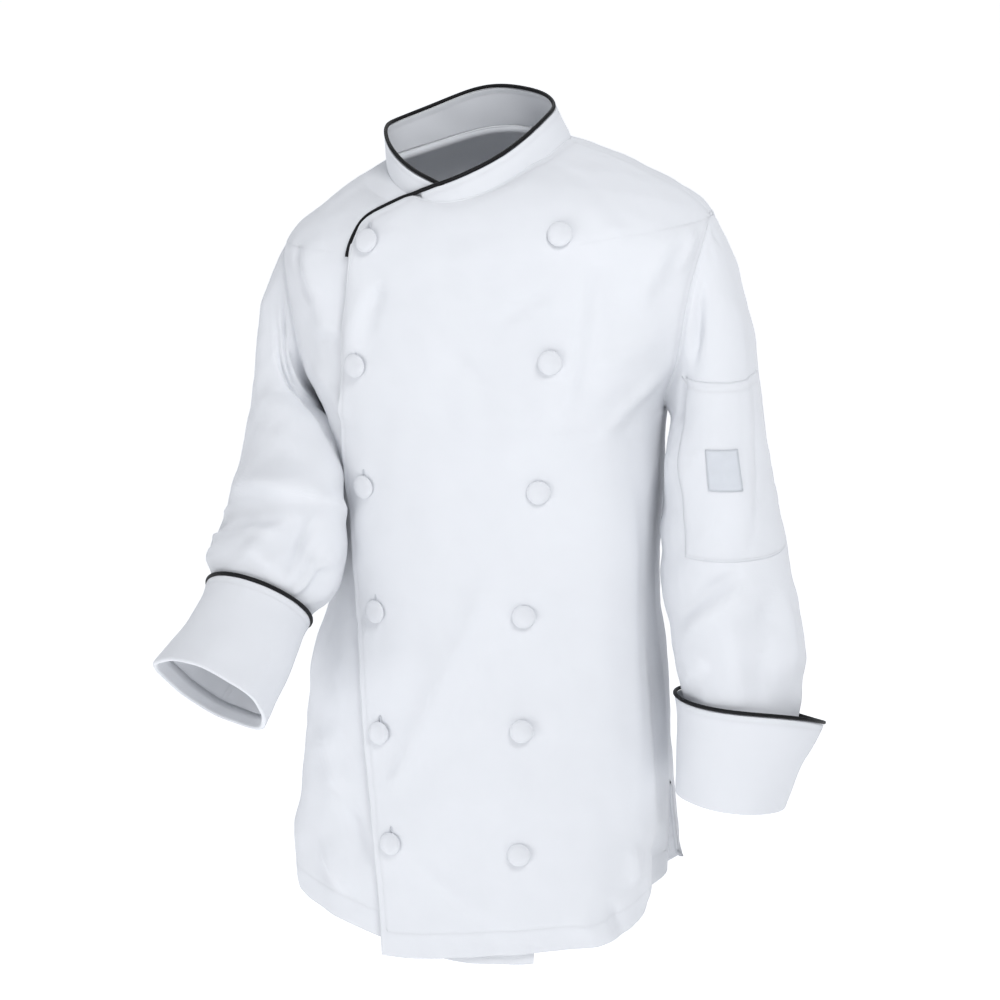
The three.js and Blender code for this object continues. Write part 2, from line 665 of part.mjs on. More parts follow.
// The row, with its fraction, at which a column of a downward grid reaches a height
function levelRow(grid, column, height) {
  let row = 0;
  while (between(grid, row + 1, column).z > height) row += 1;
  const from = between(grid, row, column).z;
  return row + (from - height) / (from - between(grid, row + 1, column).z);
}

// The place on a grid's facets that lies at x and z as seen from the front, with its direction
function seatOn(grid, x, z) {
  for (let row = 0; row < grid.length - 1; row += 1) {
    for (let column = 0; column < grid[0].length - 1; column += 1) {
      const a = grid[row][column];
      const c = grid[row + 1][column + 1];
      for (const b of [grid[row][column + 1], grid[row + 1][column]]) {
        const area = (b.x - a.x) * (c.z - a.z) - (b.z - a.z) * (c.x - a.x);
        const first = ((x - a.x) * (c.z - a.z) - (z - a.z) * (c.x - a.x)) / area;
        const second = ((b.x - a.x) * (z - a.z) - (b.z - a.z) * (x - a.x)) / area;
        if (first >= 0 && second >= 0 && first + second <= 1) {
          const toB = b.clone().sub(a);
          const toC = c.clone().sub(a);
          const out = toB.clone().cross(toC).normalize();
          if (out.y > 0) out.negate();
          return { at: a.clone().addScaledVector(toB, first).addScaledVector(toC, second), out };
        }
      }
    }
  }
  return null;
}

function raised(grid, lift, outer) {
  return grid.map((points, row) => points.map((point, column) => {
    const across = points[Math.min(points.length - 1, column + 1)].clone().sub(points[Math.max(0, column - 1)]);
    const along = grid[Math.min(grid.length - 1, row + 1)][column].clone().sub(grid[Math.max(0, row - 1)][column]);
    return point.clone().addScaledVector(across.cross(along).normalize(), lift * outer);
  }));
}

// Covered button: a low dome on a flat back
function buttonGeometry() {
  const profile = [
    [0, 0],
    [BUTTON_RADIUS * 0.93, 0],
    [BUTTON_RADIUS, BUTTON_HEIGHT * 0.35],
    [BUTTON_RADIUS * 0.86, BUTTON_HEIGHT * 0.75],
    [BUTTON_RADIUS * 0.5, BUTTON_HEIGHT * 0.96],
    [0, BUTTON_HEIGHT],
  ].map(([radius, height]) => new THREE.Vector2(radius, height));
  return new THREE.LatheGeometry(profile, 10);
}

// Places a button on a front, clear of the highest place of the cloth under it
function placeButton(mesh, front, x, height) {
  const { at, out } = seatOn(front, x, height);
  let over = 0;
  for (let row = 0; row < front.length - 1; row += 0.1) {
    for (let column = 0; column < front[0].length - 1; column += 0.1) {
      if (front[Math.floor(row)][Math.floor(column)].distanceTo(at) > 90) continue;
      const off = between(front, row, column).sub(at);
      const up = off.dot(out);
      if (off.lengthSq() - up * up < BUTTON_RADIUS ** 2) over = Math.max(over, up);
    }
  }
  mesh.position.copy(at.addScaledVector(out, over + SEAT));
  mesh.quaternion.setFromUnitVectors(new THREE.Vector3(0, 1, 0), out);
}

// The jacket
const jacket = new THREE.Group();

function add(name, geometry, material) {
  const mesh = new THREE.Mesh(geometry, material);
  mesh.name = name;
  jacket.add(mesh);
  return mesh;
}

const leftFront = frontGrid(1);
add('left_front', clothGeometry(leftFront, WALL), cloth);
add('right_front', clothGeometry(frontGrid(-1), WALL, -1), cloth);
add('back', clothGeometry(backGrid(), WALL), cloth);

const collar = collarGrid();
add('collar', clothGeometry(collar, COLLAR_WALL), cloth);
const collarTop = pastEdge(collar[COLLAR_ROWS], collar[COLLAR_ROWS - 1], COLLAR_WALL, PIPING_RADIUS + 2 * SEAM);
add('collar_piping', cordGeometry(collarTop, PIPING_RADIUS, 44), piping);

// The front's piping follows the slanting neck edge from the collar's end and turns down the
// front edge as far as its foot.
function slantPiping(grid, end) {
  const top = grid.length - 1;
  const edge = [];
  const before = [];
  let row = top;
  while (grid[row - 1][0].z > PIPING_FOOT) row -= 1;
  const foot = (PIPING_FOOT - grid[row - 1][0].z) / (grid[row][0].z - grid[row - 1][0].z);
  edge.push(grid[row - 1][0].clone().lerp(grid[row][0], foot));
  before.push(grid[row - 1][1].clone().lerp(grid[row][1], foot));
  for (; row < top; row += 1) {
    edge.push(grid[row][0]);
    before.push(grid[row][1]);
  }
  edge.push(grid[top][0]);
  before.push(grid[top - 1][1]);
  for (let column = 1; grid[top][column].x < end; column += 1) {
    edge.push(grid[top][column]);
    before.push(grid[top - 1][column]);
  }
  return pastEdge(edge, before, WALL, PIPING_RADIUS + SEAM);
}
const slantPath = slantPiping(leftFront, collar[0][0].x - 2);
add('front_piping', cordGeometry(slantPath, PIPING_RADIUS, 18), piping);

const sleeves = [
  { name: 'left', side: 1, sections: LEFT_SLEEVE, folds: LEFT_FOLDS, flare: 1, height: 96 },
  { name: 'right', side: -1, sections: RIGHT_SLEEVE, folds: RIGHT_FOLDS, flare: 0.15, height: 101 },
];
for (const { name, side, sections, folds, flare, height } of sleeves) {
  const grid = sleeveGrid(side, sections, folds);
  add(`${name}_sleeve`, clothGeometry(grid, WALL, side, true), cloth);
  const cuff = cuffGrid(side, sections, flare, height);
  add(`${name}_cuff`, clothGeometry(cuff, CUFF_WALL, -side, true), cloth);
  const rim = pastEdge(cuff[CUFF_ROWS], cuff[CUFF_ROWS - 1], 0, PIPING_RADIUS + 2 * SEAM);
  const start = 2 * ARMHOLE_ROWS * 0.75;
  const loop = [...rim.slice(start), ...rim.slice(0, start)];
  loop.push(loop[0].clone().lerp(loop[loop.length - 1], 0.08));
  add(`${name}_cuff_piping`, cordGeometry(loop, PIPING_RADIUS, 30), piping);
  if (side > 0) {
    const level = (surface, column, height) => between(surface, levelRow(surface, column, height), column);
    const top = POCKET.columns.map((column) => level(grid, column, POCKET.top));
    const bottom = POCKET.columns.map((column) => level(grid, column, POCKET.bottom));
    const middle = grid.map((points) => POCKET.columns.map((column) => points[column]))
      .filter((points) => points.every(({ z }) => z < POCKET.top - 4 && z > POCKET.bottom + 4));
    const pocket = raised([top, ...middle, bottom], POCKET_WALL + 2.2 * SEAT, 1);
    add('sleeve_pocket', clothGeometry(pocket, POCKET_WALL), cloth);
    const tab = [LABEL.top, (LABEL.top + LABEL.bottom) / 2, LABEL.bottom]
      .map((height) => LABEL.columns.map((column) => level(pocket, column, height)));
    add('label', clothGeometry(raised(tab, LABEL_WALL + 2 * SEAT, 1), LABEL_WALL), label);
  }
}

for (let row = 0; row < BUTTON_ROWS; row += 1) {
  const { near, nearUp, far, farUp } = CLOSING[row];
  placeButton(add(`button_edge_${row + 1}`, buttonGeometry(), cloth), leftFront, near, nearUp);
  placeButton(add(`button_chest_${row + 1}`, buttonGeometry(), cloth), leftFront, far, farUp);
}

export default jacket;
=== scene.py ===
import bmesh
import bpy
import numpy as np
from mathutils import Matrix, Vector


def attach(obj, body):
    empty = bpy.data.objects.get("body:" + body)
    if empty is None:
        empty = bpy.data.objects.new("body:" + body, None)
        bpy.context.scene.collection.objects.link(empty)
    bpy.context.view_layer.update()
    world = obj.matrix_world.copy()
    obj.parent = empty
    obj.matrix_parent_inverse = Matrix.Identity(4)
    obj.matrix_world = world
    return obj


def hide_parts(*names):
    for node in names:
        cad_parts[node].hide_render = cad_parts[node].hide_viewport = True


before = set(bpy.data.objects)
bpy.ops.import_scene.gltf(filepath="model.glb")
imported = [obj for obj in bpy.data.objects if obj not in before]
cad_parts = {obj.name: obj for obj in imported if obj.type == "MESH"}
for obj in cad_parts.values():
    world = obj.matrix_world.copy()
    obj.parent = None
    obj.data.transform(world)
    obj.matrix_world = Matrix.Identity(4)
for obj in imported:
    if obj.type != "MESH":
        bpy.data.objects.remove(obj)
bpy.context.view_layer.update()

# A chef's jacket: its cloth, sewing, piping and covered buttons, and the studio round it.

# Every length in the tables is in millimetres, as in the part's source. Meshes are in metres.
MM = 0.001
WALL = 1.6              # body cloth with its turned edges
SEAM = 0.3              # gap between two pieces that are sewn together
LAP = 2.8               # air between the two fronts
ALLOWANCE = 2.6         # depth of a seam allowance under the next piece
ARMHOLE_TURNING = 5     # width of the armhole's seam allowance
TUCK_REACH, TUCK_DEPTH = 3, 2.4     # width and depth of the body's allowance under the collar
COLLAR_WALL = 2.6
CUFF_WALL = 2.4
POCKET_WALL = 1.2
LABEL_WALL = 0.8
PIPING_RADIUS = 1.9
PIPING_GAP = PIPING_RADIUS + 2 * SEAM
BUTTON_RADIUS = 11.5
BUTTON_HEIGHT = 5.6
BUTTON_GAP = 0.4        # air between a button and the cloth under it
BUTTONS_IN_COLUMN = 6
HOLE_RISE = 4.5         # how far a buttonhole's middle lies above its button's
HOLE_WIDTH, HOLE_LENGTH, HOLE_THREAD = 3, 25, 0.8

# The vents: how far up the sides the back is free, how far it stands off there and on how wide a
# strip, and how far its hem rises at the left and right side seams
VENT_WAY, VENT_FLARE, VENT_TURN = 130, 13, np.radians(28)
VENT_RISE_LEFT, VENT_RISE_RIGHT = 48, 14

# Stitched lines by their distance from an edge, and the distance that says that there is none
HEM_STITCH, EDGE_STITCH, COLLAR_STITCH, CUFF_STITCH = 26, 7, 5, 6
POCKET_BAND, POCKET_STITCH, LABEL_STITCH = 9, 3, 2
NO_STITCH = 60.0

# Rows and columns of the fine grids
FRONT_COLUMNS, BACK_COLUMNS, COLLAR_COLUMNS, SLEEVE_COLUMNS = 84, 96, 230, 144
LOWER_LINES, ARMHOLE_LINES, SHOULDER_LINES = 112, 84, 24
CAP_LINES, ARM_LINES, CUFF_LINES, COLLAR_LINES = 42, 84, 30, 18
SEARCH_STEPS = 30


def table(names, rows):
    """A table whose columns are read by name."""
    return dict(zip(names.split(), np.array(rows, float).T))


# Rings of the body cloth, from under the hem to the collar seam
TORSO = table("front side back wide fore aft square shift rise", [
    (-812, -801, -792, 195, 149, 126, 2.40, -17, 0.030),
    (-785, -774, -766, 194, 148, 125, 2.40, -16, 0.030),
    (-668, -656, -654, 192, 141, 121, 2.35, -13, 0.050),
    (-556, -550, -550, 184, 133, 113, 2.30, -11, 0.048),
    (-448, -446, -446, 165, 127, 105, 2.30, -4, 0.045),
    (-350, -350, -350, 164, 126, 107, 2.35, -1, 0.050),
    (-256, -258, -256, 168, 127, 112, 2.35, -1, 0.065),
    (-192, -202, -190, 196, 124, 116, 2.30, 0, 0.075),
    (-130, -140, -124, 212, 119, 118, 2.25, -1, 0.080),
    (-92, -78, -56, 210, 113, 111, 2.20, -3, 0.092),
    (-66, -33, -17, 150, 106, 90, 2.15, -11, 0.113),
    (-41, -3, 10, 89, 98, 62, 2.00, -20, 0.130),
])
HEM_RING, UNDERARM_RING, TIP_RING = 1, 6, 9

# The front closing: the two fronts' edges and the two columns of buttons
CLOSING = table("height edge under near near_up far far_up", [
    (-790, -83, 72, -66, -790, 57, -790),
    (-675, -92, 78, -73, -673, 57, -671),
    (-553, -106, 82, -87, -562, 57, -544),
    (-432, -118, 88, -95.5, -442, 57, -430),
    (-310, -127, 98, -105, -318, 70, -308),
    (-189, -127, 103, -111, -198, 82, -180),
    (-67, -115, 104, -100.6, -80, 86, -65),
])
LAP_REACH, LAP_REACH_AT_NECK = 116, 44
SLANT = table("x height", [
    (-116, -86), (-111, -69), (-101, -60), (-88, -53), (-68, -43), (-50, -33), (-36, -25),
])
PIPING_FOOT = -99
# The under front's top edge is the slant, drawn in and moved to the right
UNDER_STRETCH, UNDER_SHIFT = 0.73, 43
# How far the hem rises at a front's side seam and from which share of its width on, and how far
# the front's corner hangs and to which share
HEM_SWEEP = {1: (32, 0.66, 9, 0.30), -1: (26, 0.20, 13, 0.45)}

COLLAR = table("angle height lift", [
    (-17, 5, 3.8), (-6, 13, 3.8), (12, 19, 3.8), (38, 21.5, 2.2), (66, 24, 0.6), (88, 27, 0),
    (112, 36, 0), (140, 38.5, 0), (180, 37, 0), (270, 30, 0), (318, 28, -0.9), (342, 21, -1),
    (354, 14, -1), (362, 6, -1),
])
COLLAR_LEAN, COLLAR_TURN = 0.20, 0.16
ARMHOLE_FRONT, ARMHOLE_BACK = np.radians(15), np.radians(16)

SECTION = "x y z across deep skew"
LEFT_SLEEVE = table(SECTION, [
    (220, -12, -283, 49, 68, 0),
    (226, -15, -330, 53, 69, 0),
    (236, -20, -405, 60, 69, 0),
    (247, -26, -468, 63, 66, 0),
    (255, -33, -530, 56, 61, 0),
    (252, -41, -582, 52, 57, 0),
    (248, -46, -625, 52, 54, 0),
])
RIGHT_SLEEVE = table(SECTION, [
    (-212, -28, -283, 41, 64, 0.18),
    (-205, -72, -336, 52, 66, 0.45),
    (-199, -102, -384, 65, 66, 0.30),
    (-201, -124, -413, 68, 64, 0.15),
    (-206, -141, -436, 46.5, 54, 0),
    (-214, -174, -469, 50, 54, 0),
    (-228, -211, -503, 58, 58, 0),
])
LEFT_CUFF, RIGHT_CUFF = 96, 101
CUFF_DROOP, CUFF_RISE = 0.24, 0.09
LEFT_FLARE, RIGHT_FLARE = 1.0, 0.15
CUFF_PAST = 1.5         # how far the cuff's fold lies past the sleeve's mouth
FOLD_REACH, FOLD_DEPTH = 2.2, 2.6
CUFF_TURN = 0.06        # share of a cuff in which it turns round the sleeve's mouth
SLEEVE_SEAM = 285       # degrees round a sleeve where its long seam runs
# How far a cuff stands off its sleeve from the mouth up: all round, behind and on the inner side
CUFF_STAND = table("share round behind inside", [
    (0, 2.9, 0, 0), (0.35, 3.8, 7, 3), (0.7, 4.8, 16, 4), (1, 6, 23, 4),
])

# Rows of the part's own grids, which the finer grids here divide further
BODY_ROWS, ARMHOLE_ROWS, SHOULDER_ROWS = 10, 9, 4
CAP_ROWS, ARM_ROWS = 5, 12

POCKET_TOP, POCKET_BOTTOM = -205, -374
LABEL_TOP, LABEL_BOTTOM = -266, -305
POCKET_COLUMNS, LABEL_COLUMNS = (0, 48), (23, 35)
POCKET_DIVIDER, POCKET_FOOT = 68, 13

# Broad folds of the body cloth, as in the part
BODY_FOLDS = table("turn up end_turn end_up width height", [
    (28, -262, 62, -170, 30, 4),
    (-46, -330, -72, -215, 26, 4),
    (20, -540, -22, -690, 38, 4),
    (70, -600, 62, -780, 26, 5),
    (-66, -560, -60, -780, 28, 6),
    (128, -300, 152, -460, 34, 5),
    (232, -310, 206, -480, 34, 5),
    (140, -560, 132, -775, 34, 6),
    (198, -590, 204, -775, 38, 5),
])
SLEEVE_FOLD = "down turn slant width spread height"
LEFT_FOLDS = table(SLEEVE_FOLD, [
    (0.30, 120, 0.0006, 0.045, 40, 4),
    (0.60, 95, 0.0010, 0.040, 50, 5),
    (0.70, 30, -0.0012, 0.045, 45, 5),
    (0.60, 250, -0.0006, 0.040, 45, -4),
])
RIGHT_FOLDS = table(SLEEVE_FOLD, [
    (0.33, 80, 0.0010, 0.045, 40, 5),
    (0.50, 85, 0.0006, 0.035, 55, 8),
    (0.59, 105, 0.0002, 0.030, 50, -7),
    (0.60, 175, 0.0010, 0.040, 32, 6),
    (0.52, 250, 0, 0.060, 40, 3),
    (0.70, 325, 0, 0.060, 35, -9),
])

# Creases of the worn cloth: a line through three places, how wide the ridge is on its two sides,
# and its height (a trough where that is below zero). Where the line runs towards larger b, the
# first width is for the side of larger a. On the body a is the angle round it and b the height of
# the place; on a sleeve a is the angle round it and b is in thousandths down it.
CREASE = "a0 b0 a1 b1 a2 b2 one other height"
BODY_CREASES = table(CREASE, [
    # The right front bears against the arm
    (-84, -276, -71, -318, -58, -356, 20, 20, 7.5),
    # Beside the arm the left front turns in sharply
    (80, -700, 83, -560, 80, -400, 18, 16, -9.0),
    (78, -768, 79, -728, 80, -670, 13, 15, -12.0),
    # The chest of the left front: a smooth plateau with a sharp far side, and small drag lines
    (39, -232, 43, -160, 47, -84, 8, 58, 7.6),
    (12, -150, 27, -128, 41, -104, 7, 7, -3.0),
    (-8, -170, 2, -196, 16, -222, 16, 12, -3.2),
    (-42, -172, -40, -142, -37, -112, 7, 6, -3.6),
    (-46, -210, -47, -165, -44, -120, 9, 8, 4.5),
    (60, -134, 66, -92, 72, -54, 10, 9, 6.8),
    (72, -106, 75, -82, 78, -56, 5, 5, 4.9),
    (54, -76, 57, -64, 61, -52, 8, 7, 3.0),
    (50, -190, 58, -172, 68, -165, 12, 10, 3.6),
    (52, -262, 62, -226, 74, -196, 12, 9, 4.5),
    # The long diagonal fold over the belly, and the soft corner towards the side
    (-24, -618, -3, -489, 17, -372, 20, 14, 5.4),
    (-25, -618, -20, -592, -15, -566, 6, 6, 3.0),
    (65, -668, 68, -480, 65, -300, 9, 40, 7.2),
    (24, -420, 34, -400, 46, -372, 16, 12, 2.7),
    (20, -560, 34, -530, 52, -505, 18, 14, 3.0),
    # The hem of the left front: it tucks in on the right of the corner, with folds at the turn
    (8, -812, 31, -806, 54, -800, 84, 84, -9.8),
    (-16, -684, 1, -712, 17, -748, 8, 14, 3.6),
    (64, -716, 65, -696, 64, -672, 6, 6, 6.8),
    (61, -772, 58, -748, 55, -722, 5, 5, -5.4),
    (50, -770, 48, -740, 50, -712, 8, 9, 3.6),
    (70, -752, 72, -716, 70, -684, 6, 7, 4.9),
    # The right front: a drag from the shoulder, and the swing of its lower part
    (-55, -180, -60, -148, -70, -84, 12, 13, 7.2),
    (-62, -152, -67, -120, -72, -88, 5, 5, -5.8),
    (-50, -262, -57, -232, -66, -206, 10, 8, 4.5),
    (-43, -638, -50, -606, -57, -570, 14, 13, 9.0),
    (-34, -706, -38, -672, -44, -640, 9, 9, -5.8),
    (-40, -742, -46, -718, -53, -690, 9, 8, 6.8),
    (-60, -770, -66, -720, -68, -660, 14, 12, 4.9),
    (-70, -560, -76, -500, -80, -440, 14, 12, 5.4),
    # The back, which the photograph doesn't show: drags from the armholes and folds to the hem
    (152, -440, 132, -335, 112, -262, 16, 12, 6.3),
    (157, -246, 137, -216, 118, -182, 11, 9, 4.9),
    (204, -252, 224, -220, 243, -184, 10, 12, 5.4),
    (214, -452, 231, -352, 249, -268, 12, 16, 5.8),
    (150, -782, 146, -662, 151, -548, 18, 12, 6.8),
    (185, -784, 190, -692, 183, -604, 14, 16, 5.4),
    (222, -780, 227, -676, 219, -574, 12, 17, 7.2),
    (164, -84, 181, -102, 201, -88, 16, 12, 3.2),
    (160, -330, 178, -352, 199, -338, 20, 14, 4.1),
    (112, -700, 116, -620, 112, -540, 14, 11, 5.4),
    (252, -690, 247, -600, 250, -520, 12, 14, 4.9),
])
LEFT_CREASES = table(CREASE, [
    # The inner side rests against the body
    (165, 380, 168, 500, 165, 640, 24, 24, 6.5),
    # Puckers at the sleeve's head and the hollow beside the armhole seam
    (13, 4, 9, 18, 6, 36, 4, 4, -2.7),
    (30, 4, 27, 16, 25, 30, 4, 4, -1.7),
    (348, 4, 346, 18, 343, 34, 4, 5, -2.1),
    (48, 12, 76, 44, 104, 58, 15, 11, -6.9),
    (112, 40, 124, 100, 130, 180, 9, 8, -3.8),
    # The soft edge between its front and its outer side
    (9, 95, 41, 243, 64, 530, 32, 13, 6.0),
    (20, 215, 36, 330, 52, 470, 5, 5, -2.2),
    # Below the pocket: the fold across the elbow and the wedge that runs into the cuff
    (62, 512, 96, 556, 134, 610, 9, 8, -6.4),
    (66, 545, 98, 592, 134, 648, 12, 9, 4.5),
    (38, 548, 55, 680, 66, 792, 16, 14, -6.8),
    (80, 560, 84, 680, 80, 790, 20, 12, 4.9),
    (18, 560, 26, 660, 28, 780, 9, 9, 4.2),
    (110, 690, 124, 720, 146, 742, 10, 8, 3.1),
    # Behind and inside, in the same manner
    (230, 240, 262, 330, 300, 398, 14, 10, 5.7),
    (200, 520, 242, 592, 292, 640, 10, 14, 6.0),
    (322, 590, 302, 690, 282, 794, 12, 12, -5.3),
    (250, 430, 280, 470, 320, 480, 10, 12, 3.8),
    (176, 300, 184, 420, 178, 540, 12, 12, 3.4),
])
RIGHT_CREASES = table(CREASE, [
    # The inner side rests against the body
    (176, 262, 177, 380, 182, 520, 24, 24, 6.5),
    (152, 310, 147, 420, 138, 580, 24, 26, 15.0),
    # Two long creases that curve from the shoulder to the inside of the elbow
    (40, 14, 92, 100, 144, 356, 5, 5, -5.7),
    (48, 60, 110, 236, 154, 510, 6, 6, -5.9),
    (70, 60, 112, 160, 146, 420, 6, 6, 3.9),
    (12, 40, 40, 180, 70, 330, 20, 16, 2.8),
    (30, 330, 70, 400, 112, 440, 16, 12, 2.8),
    # The ridge over the elbow, the deep hollow under it and the folds that run into the cuff
    (10, 470, 66, 508, 116, 546, 12, 9, 7.7),
    (112, 540, 138, 548, 166, 572, 9, 7, 8.1),
    (90, 612, 134, 656, 176, 704, 17, 24, -17.0),
    (172, 622, 150, 676, 146, 748, 7, 6, 7.4),
    (128, 560, 120, 640, 128, 720, 8, 7, -5.9),
    (70, 664, 92, 690, 112, 700, 10, 8, 5.7),
    (60, 600, 78, 622, 100, 630, 10, 9, 2.8),
    (2, 520, 14, 528, 30, 530, 4, 4, 2.4),
    (0, 566, 14, 572, 32, 570, 4, 4, -2.3),
    (4, 612, 18, 616, 36, 612, 4, 5, 2.3),
    (6, 656, 22, 656, 40, 650, 4, 4, -2.2),
    # Behind, in the same manner
    (200, 300, 242, 380, 292, 440, 10, 13, 4.9),
    (226, 520, 272, 542, 332, 522, 12, 14, 4.9),
    (208, 650, 252, 690, 302, 700, 10, 10, -5.3),
    (300, 90, 320, 220, 330, 360, 16, 14, 3.5),
])
BODY_GIRTH = 2.6        # millimetres of cloth for each degree round the body
SLEEVE_GIRTH = 1.1
SLEEVE_LENGTH = 0.48    # millimetres of cloth for each thousandth down a sleeve
CREASE_STEPS = 8        # straight steps that a crease's line is measured in


# Smooth steps and table reading

def ease(low, high, value):
    share = np.clip((value - low) / (high - low), 0, 1)
    return share * share * (3 - 2 * share)


def bell(gap, width):
    """1 in the middle, falling off over the width."""
    return np.exp(-(gap / width) ** 2)


def hermite(share, start, leave, end, arrive):
    """A smooth way from start to end with the given slopes at its ends."""
    rest = 1 - share
    first = (start * (1 + 2 * share) + leave * share) * rest * rest
    return first + (end * (3 - 2 * share) - arrive * rest) * share * share


def curve(places, values, at):
    """A smooth curve through the values, read at places along it."""
    rows = np.arange(len(places))
    before = np.maximum(rows - 1, 0)
    after = np.minimum(rows + 1, len(places) - 1)
    slopes = (values[after] - values[before]) / (places[after] - places[before])
    row = np.clip(np.searchsorted(places, at, side="left") - 1, 0, len(places) - 2)
    span = places[row + 1] - places[row]
    share = (at - places[row]) / span
    return hermite(share, values[row], slopes[row] * span, values[row + 1], slopes[row + 1] * span)


def bisect(low, high, past):
    """The place between low and high where past becomes true."""
    for step in range(SEARCH_STEPS):
        middle = (low + high) / 2
        beyond = past(middle)
        low, high = np.where(beyond, low, middle), np.where(beyond, middle, high)
    return (low + high) / 2


def unit(vectors):
    return vectors / np.maximum(np.linalg.norm(vectors, axis=-1, keepdims=True), 1e-9)


def along_axis(*columns):
    """Distances along a row of points, from the first one."""
    steps = np.sqrt(sum(np.diff(values) ** 2 for values in columns))
    return np.concatenate([[0.0], np.cumsum(steps)])


# The body's form: an angle round the ring and a way up from the lowest ring

torso_ways = along_axis(TORSO["side"], TORSO["wide"])
HEM, UNDERARM, TIP, NECK = (torso_ways[ring] for ring in (HEM_RING, UNDERARM_RING, TIP_RING, -1))


def torso_at(key, way):
    return curve(torso_ways, TORSO[key], way)


def ring_reach(angle, way):
    square = torso_at("square", way)
    depth = np.where(np.cos(angle) > 0, torso_at("fore", way), torso_at("aft", way))
    across = np.abs(np.sin(angle)) / torso_at("wide", way)
    along = np.abs(np.cos(angle)) / depth
    return (across ** square + along ** square) ** (-1 / square)


def plain_torso(angle, way):
    reach = ring_reach(angle, way)
    x = reach * np.sin(angle)
    side = torso_at("side", way)
    middle = np.where(np.cos(angle) > 0, torso_at("front", way), torso_at("back", way))
    z = side + (middle - side) * np.cos(angle) ** 2 + x * torso_at("rise", way)
    return np.stack([x + torso_at("shift", way), -reach * np.cos(angle), z], -1)


def round_body(angle):
    """Degrees round the body, from -90 at the right side past the front to 270."""
    return (np.degrees(angle) + 90) % 360 - 90


def body_fold(angle, z):
    """Height of the part's broad folds."""
    turn = round_body(angle)
    height = np.zeros(turn.shape)
    for start, up, end, end_up, width, rise in zip(*BODY_FOLDS.values()):
        run_x, run_z = (end - start) * BODY_GIRTH, end_up - up
        off_x, off_z = (turn - start) * BODY_GIRTH, z - up
        length = np.hypot(run_x, run_z)
        along = (off_x * run_x + off_z * run_z) / length
        beside = (off_x * run_z - off_z * run_x) / length
        within = ease(-0.35 * length, 0.25 * length, along)
        within = within * (1 - ease(0.75 * length, 1.35 * length, along))
        height += rise * within * bell(beside, width)
    beside_seam = np.abs(np.where(np.abs(turn - 90) > 90, np.abs(turn - 270), turn - 90))
    return height * ease(0, 14, beside_seam) * (1 - ease(-150, -90, z))


def torso(angle, way, lift=0.0):
    """A place on the body cloth."""
    angle, way = np.broadcast_arrays(np.asarray(angle, float), np.asarray(way, float))
    point = plain_torso(angle, way)
    across = plain_torso(angle + 0.01, way) - plain_torso(angle - 0.01, way)
    up = plain_torso(angle, way + 2) - plain_torso(angle, way - 2)
    height = lift + body_fold(angle, point[..., 2])
    return point + unit(np.cross(across, up)) * height[..., None]


def front_angle(x, way):
    """The angle on a ring at a distance to the left of the middle of the front."""
    off = x - torso_at("shift", way)
    angle = np.zeros(np.shape(off + way))
    for step in range(SEARCH_STEPS):
        sine = np.clip(off / ring_reach(angle, way), -0.999, 0.999)
        angle = angle + (np.arcsin(sine) - angle) * 0.7
    return angle


def front_way(x, height):
    """The way up to a height at a distance to the left of the middle of the front."""
    def past(way):
        return plain_torso(front_angle(x, way), way)[:, 2] >= height
    return bisect(np.zeros(len(x)), np.full(len(x), NECK), past)


closing_ways = front_way(CLOSING["edge"], CLOSING["height"])


def closing_at(key, way):
    return curve(closing_ways, CLOSING[key], way)


def armhole_up(share):
    """Share of the armhole's height at a share of its rows."""
    return 0.5 * share + 0.25 * (1 - np.cos(np.pi * share))


def armhole_step(share):
    up = armhole_up(share)
    return UNDERARM + (TIP - UNDERARM) * up, np.sqrt(np.maximum(0, 1 - (2 * up - 1) ** 2))


def body_level(row, hollow):
    """The way up at a row of the part's body grids, and the angle that the armhole takes off."""
    arm_way, cut = armhole_step(np.clip((row - BODY_ROWS) / ARMHOLE_ROWS, 0, 1))
    shoulder = (row - BODY_ROWS - ARMHOLE_ROWS) / SHOULDER_ROWS
    way = np.where(row < BODY_ROWS, HEM + (UNDERARM - HEM) * row / BODY_ROWS, arm_way)
    way = np.where(shoulder > 0, TIP + (NECK - SEAM - TIP) * shoulder, way)
    inside = (row > BODY_ROWS) & (shoulder < 0)
    return way, hollow * cut * inside


def seam_half(way):
    return SEAM / 2 / torso_at("wide", way)


def slant_height(x):
    height = curve(SLANT["x"], SLANT["height"], np.maximum(SLANT["x"][0], x))
    return np.where(x > SLANT["x"][-1], np.inf, height)


def share_angle(side, way, share, cut=0.0):
    """The angle at a share of the way from a front's free edge to its side seam."""
    free = front_angle(closing_at("edge" if side > 0 else "under", way), way) * side
    return free + (np.pi / 2 - seam_half(way) - free) * share - cut * share ** 4


def top_way(side, share):
    """The top of a front's column: the collar seam, or the slanting edge where that is lower."""
    def over(way):
        point = plain_torso(side * share_angle(side, way, share), way)
        x = point[..., 0] if side > 0 else -UNDER_STRETCH * point[..., 0] - UNDER_SHIFT
        return point[..., 2] > slant_height(x)
    top = np.full(share.shape, NECK - SEAM)
    return np.where(over(top), bisect(np.full(share.shape, UNDERARM), top, over), top)


def hem_rise(side, share):
    rise, start, hang, end = HEM_SWEEP[side]
    return rise * ease(start, 1, share) - hang * (1 - ease(0, end, share))


def front_lift(side, angle, way):
    if side < 0:
        return np.zeros(angle.shape)
    reach = LAP_REACH + (LAP_REACH_AT_NECK - LAP_REACH) * ease(TIP, NECK, way)
    outer = front_angle(reach, way)
    return (WALL + LAP) * (1 - ease(outer, outer + np.radians(20), angle))


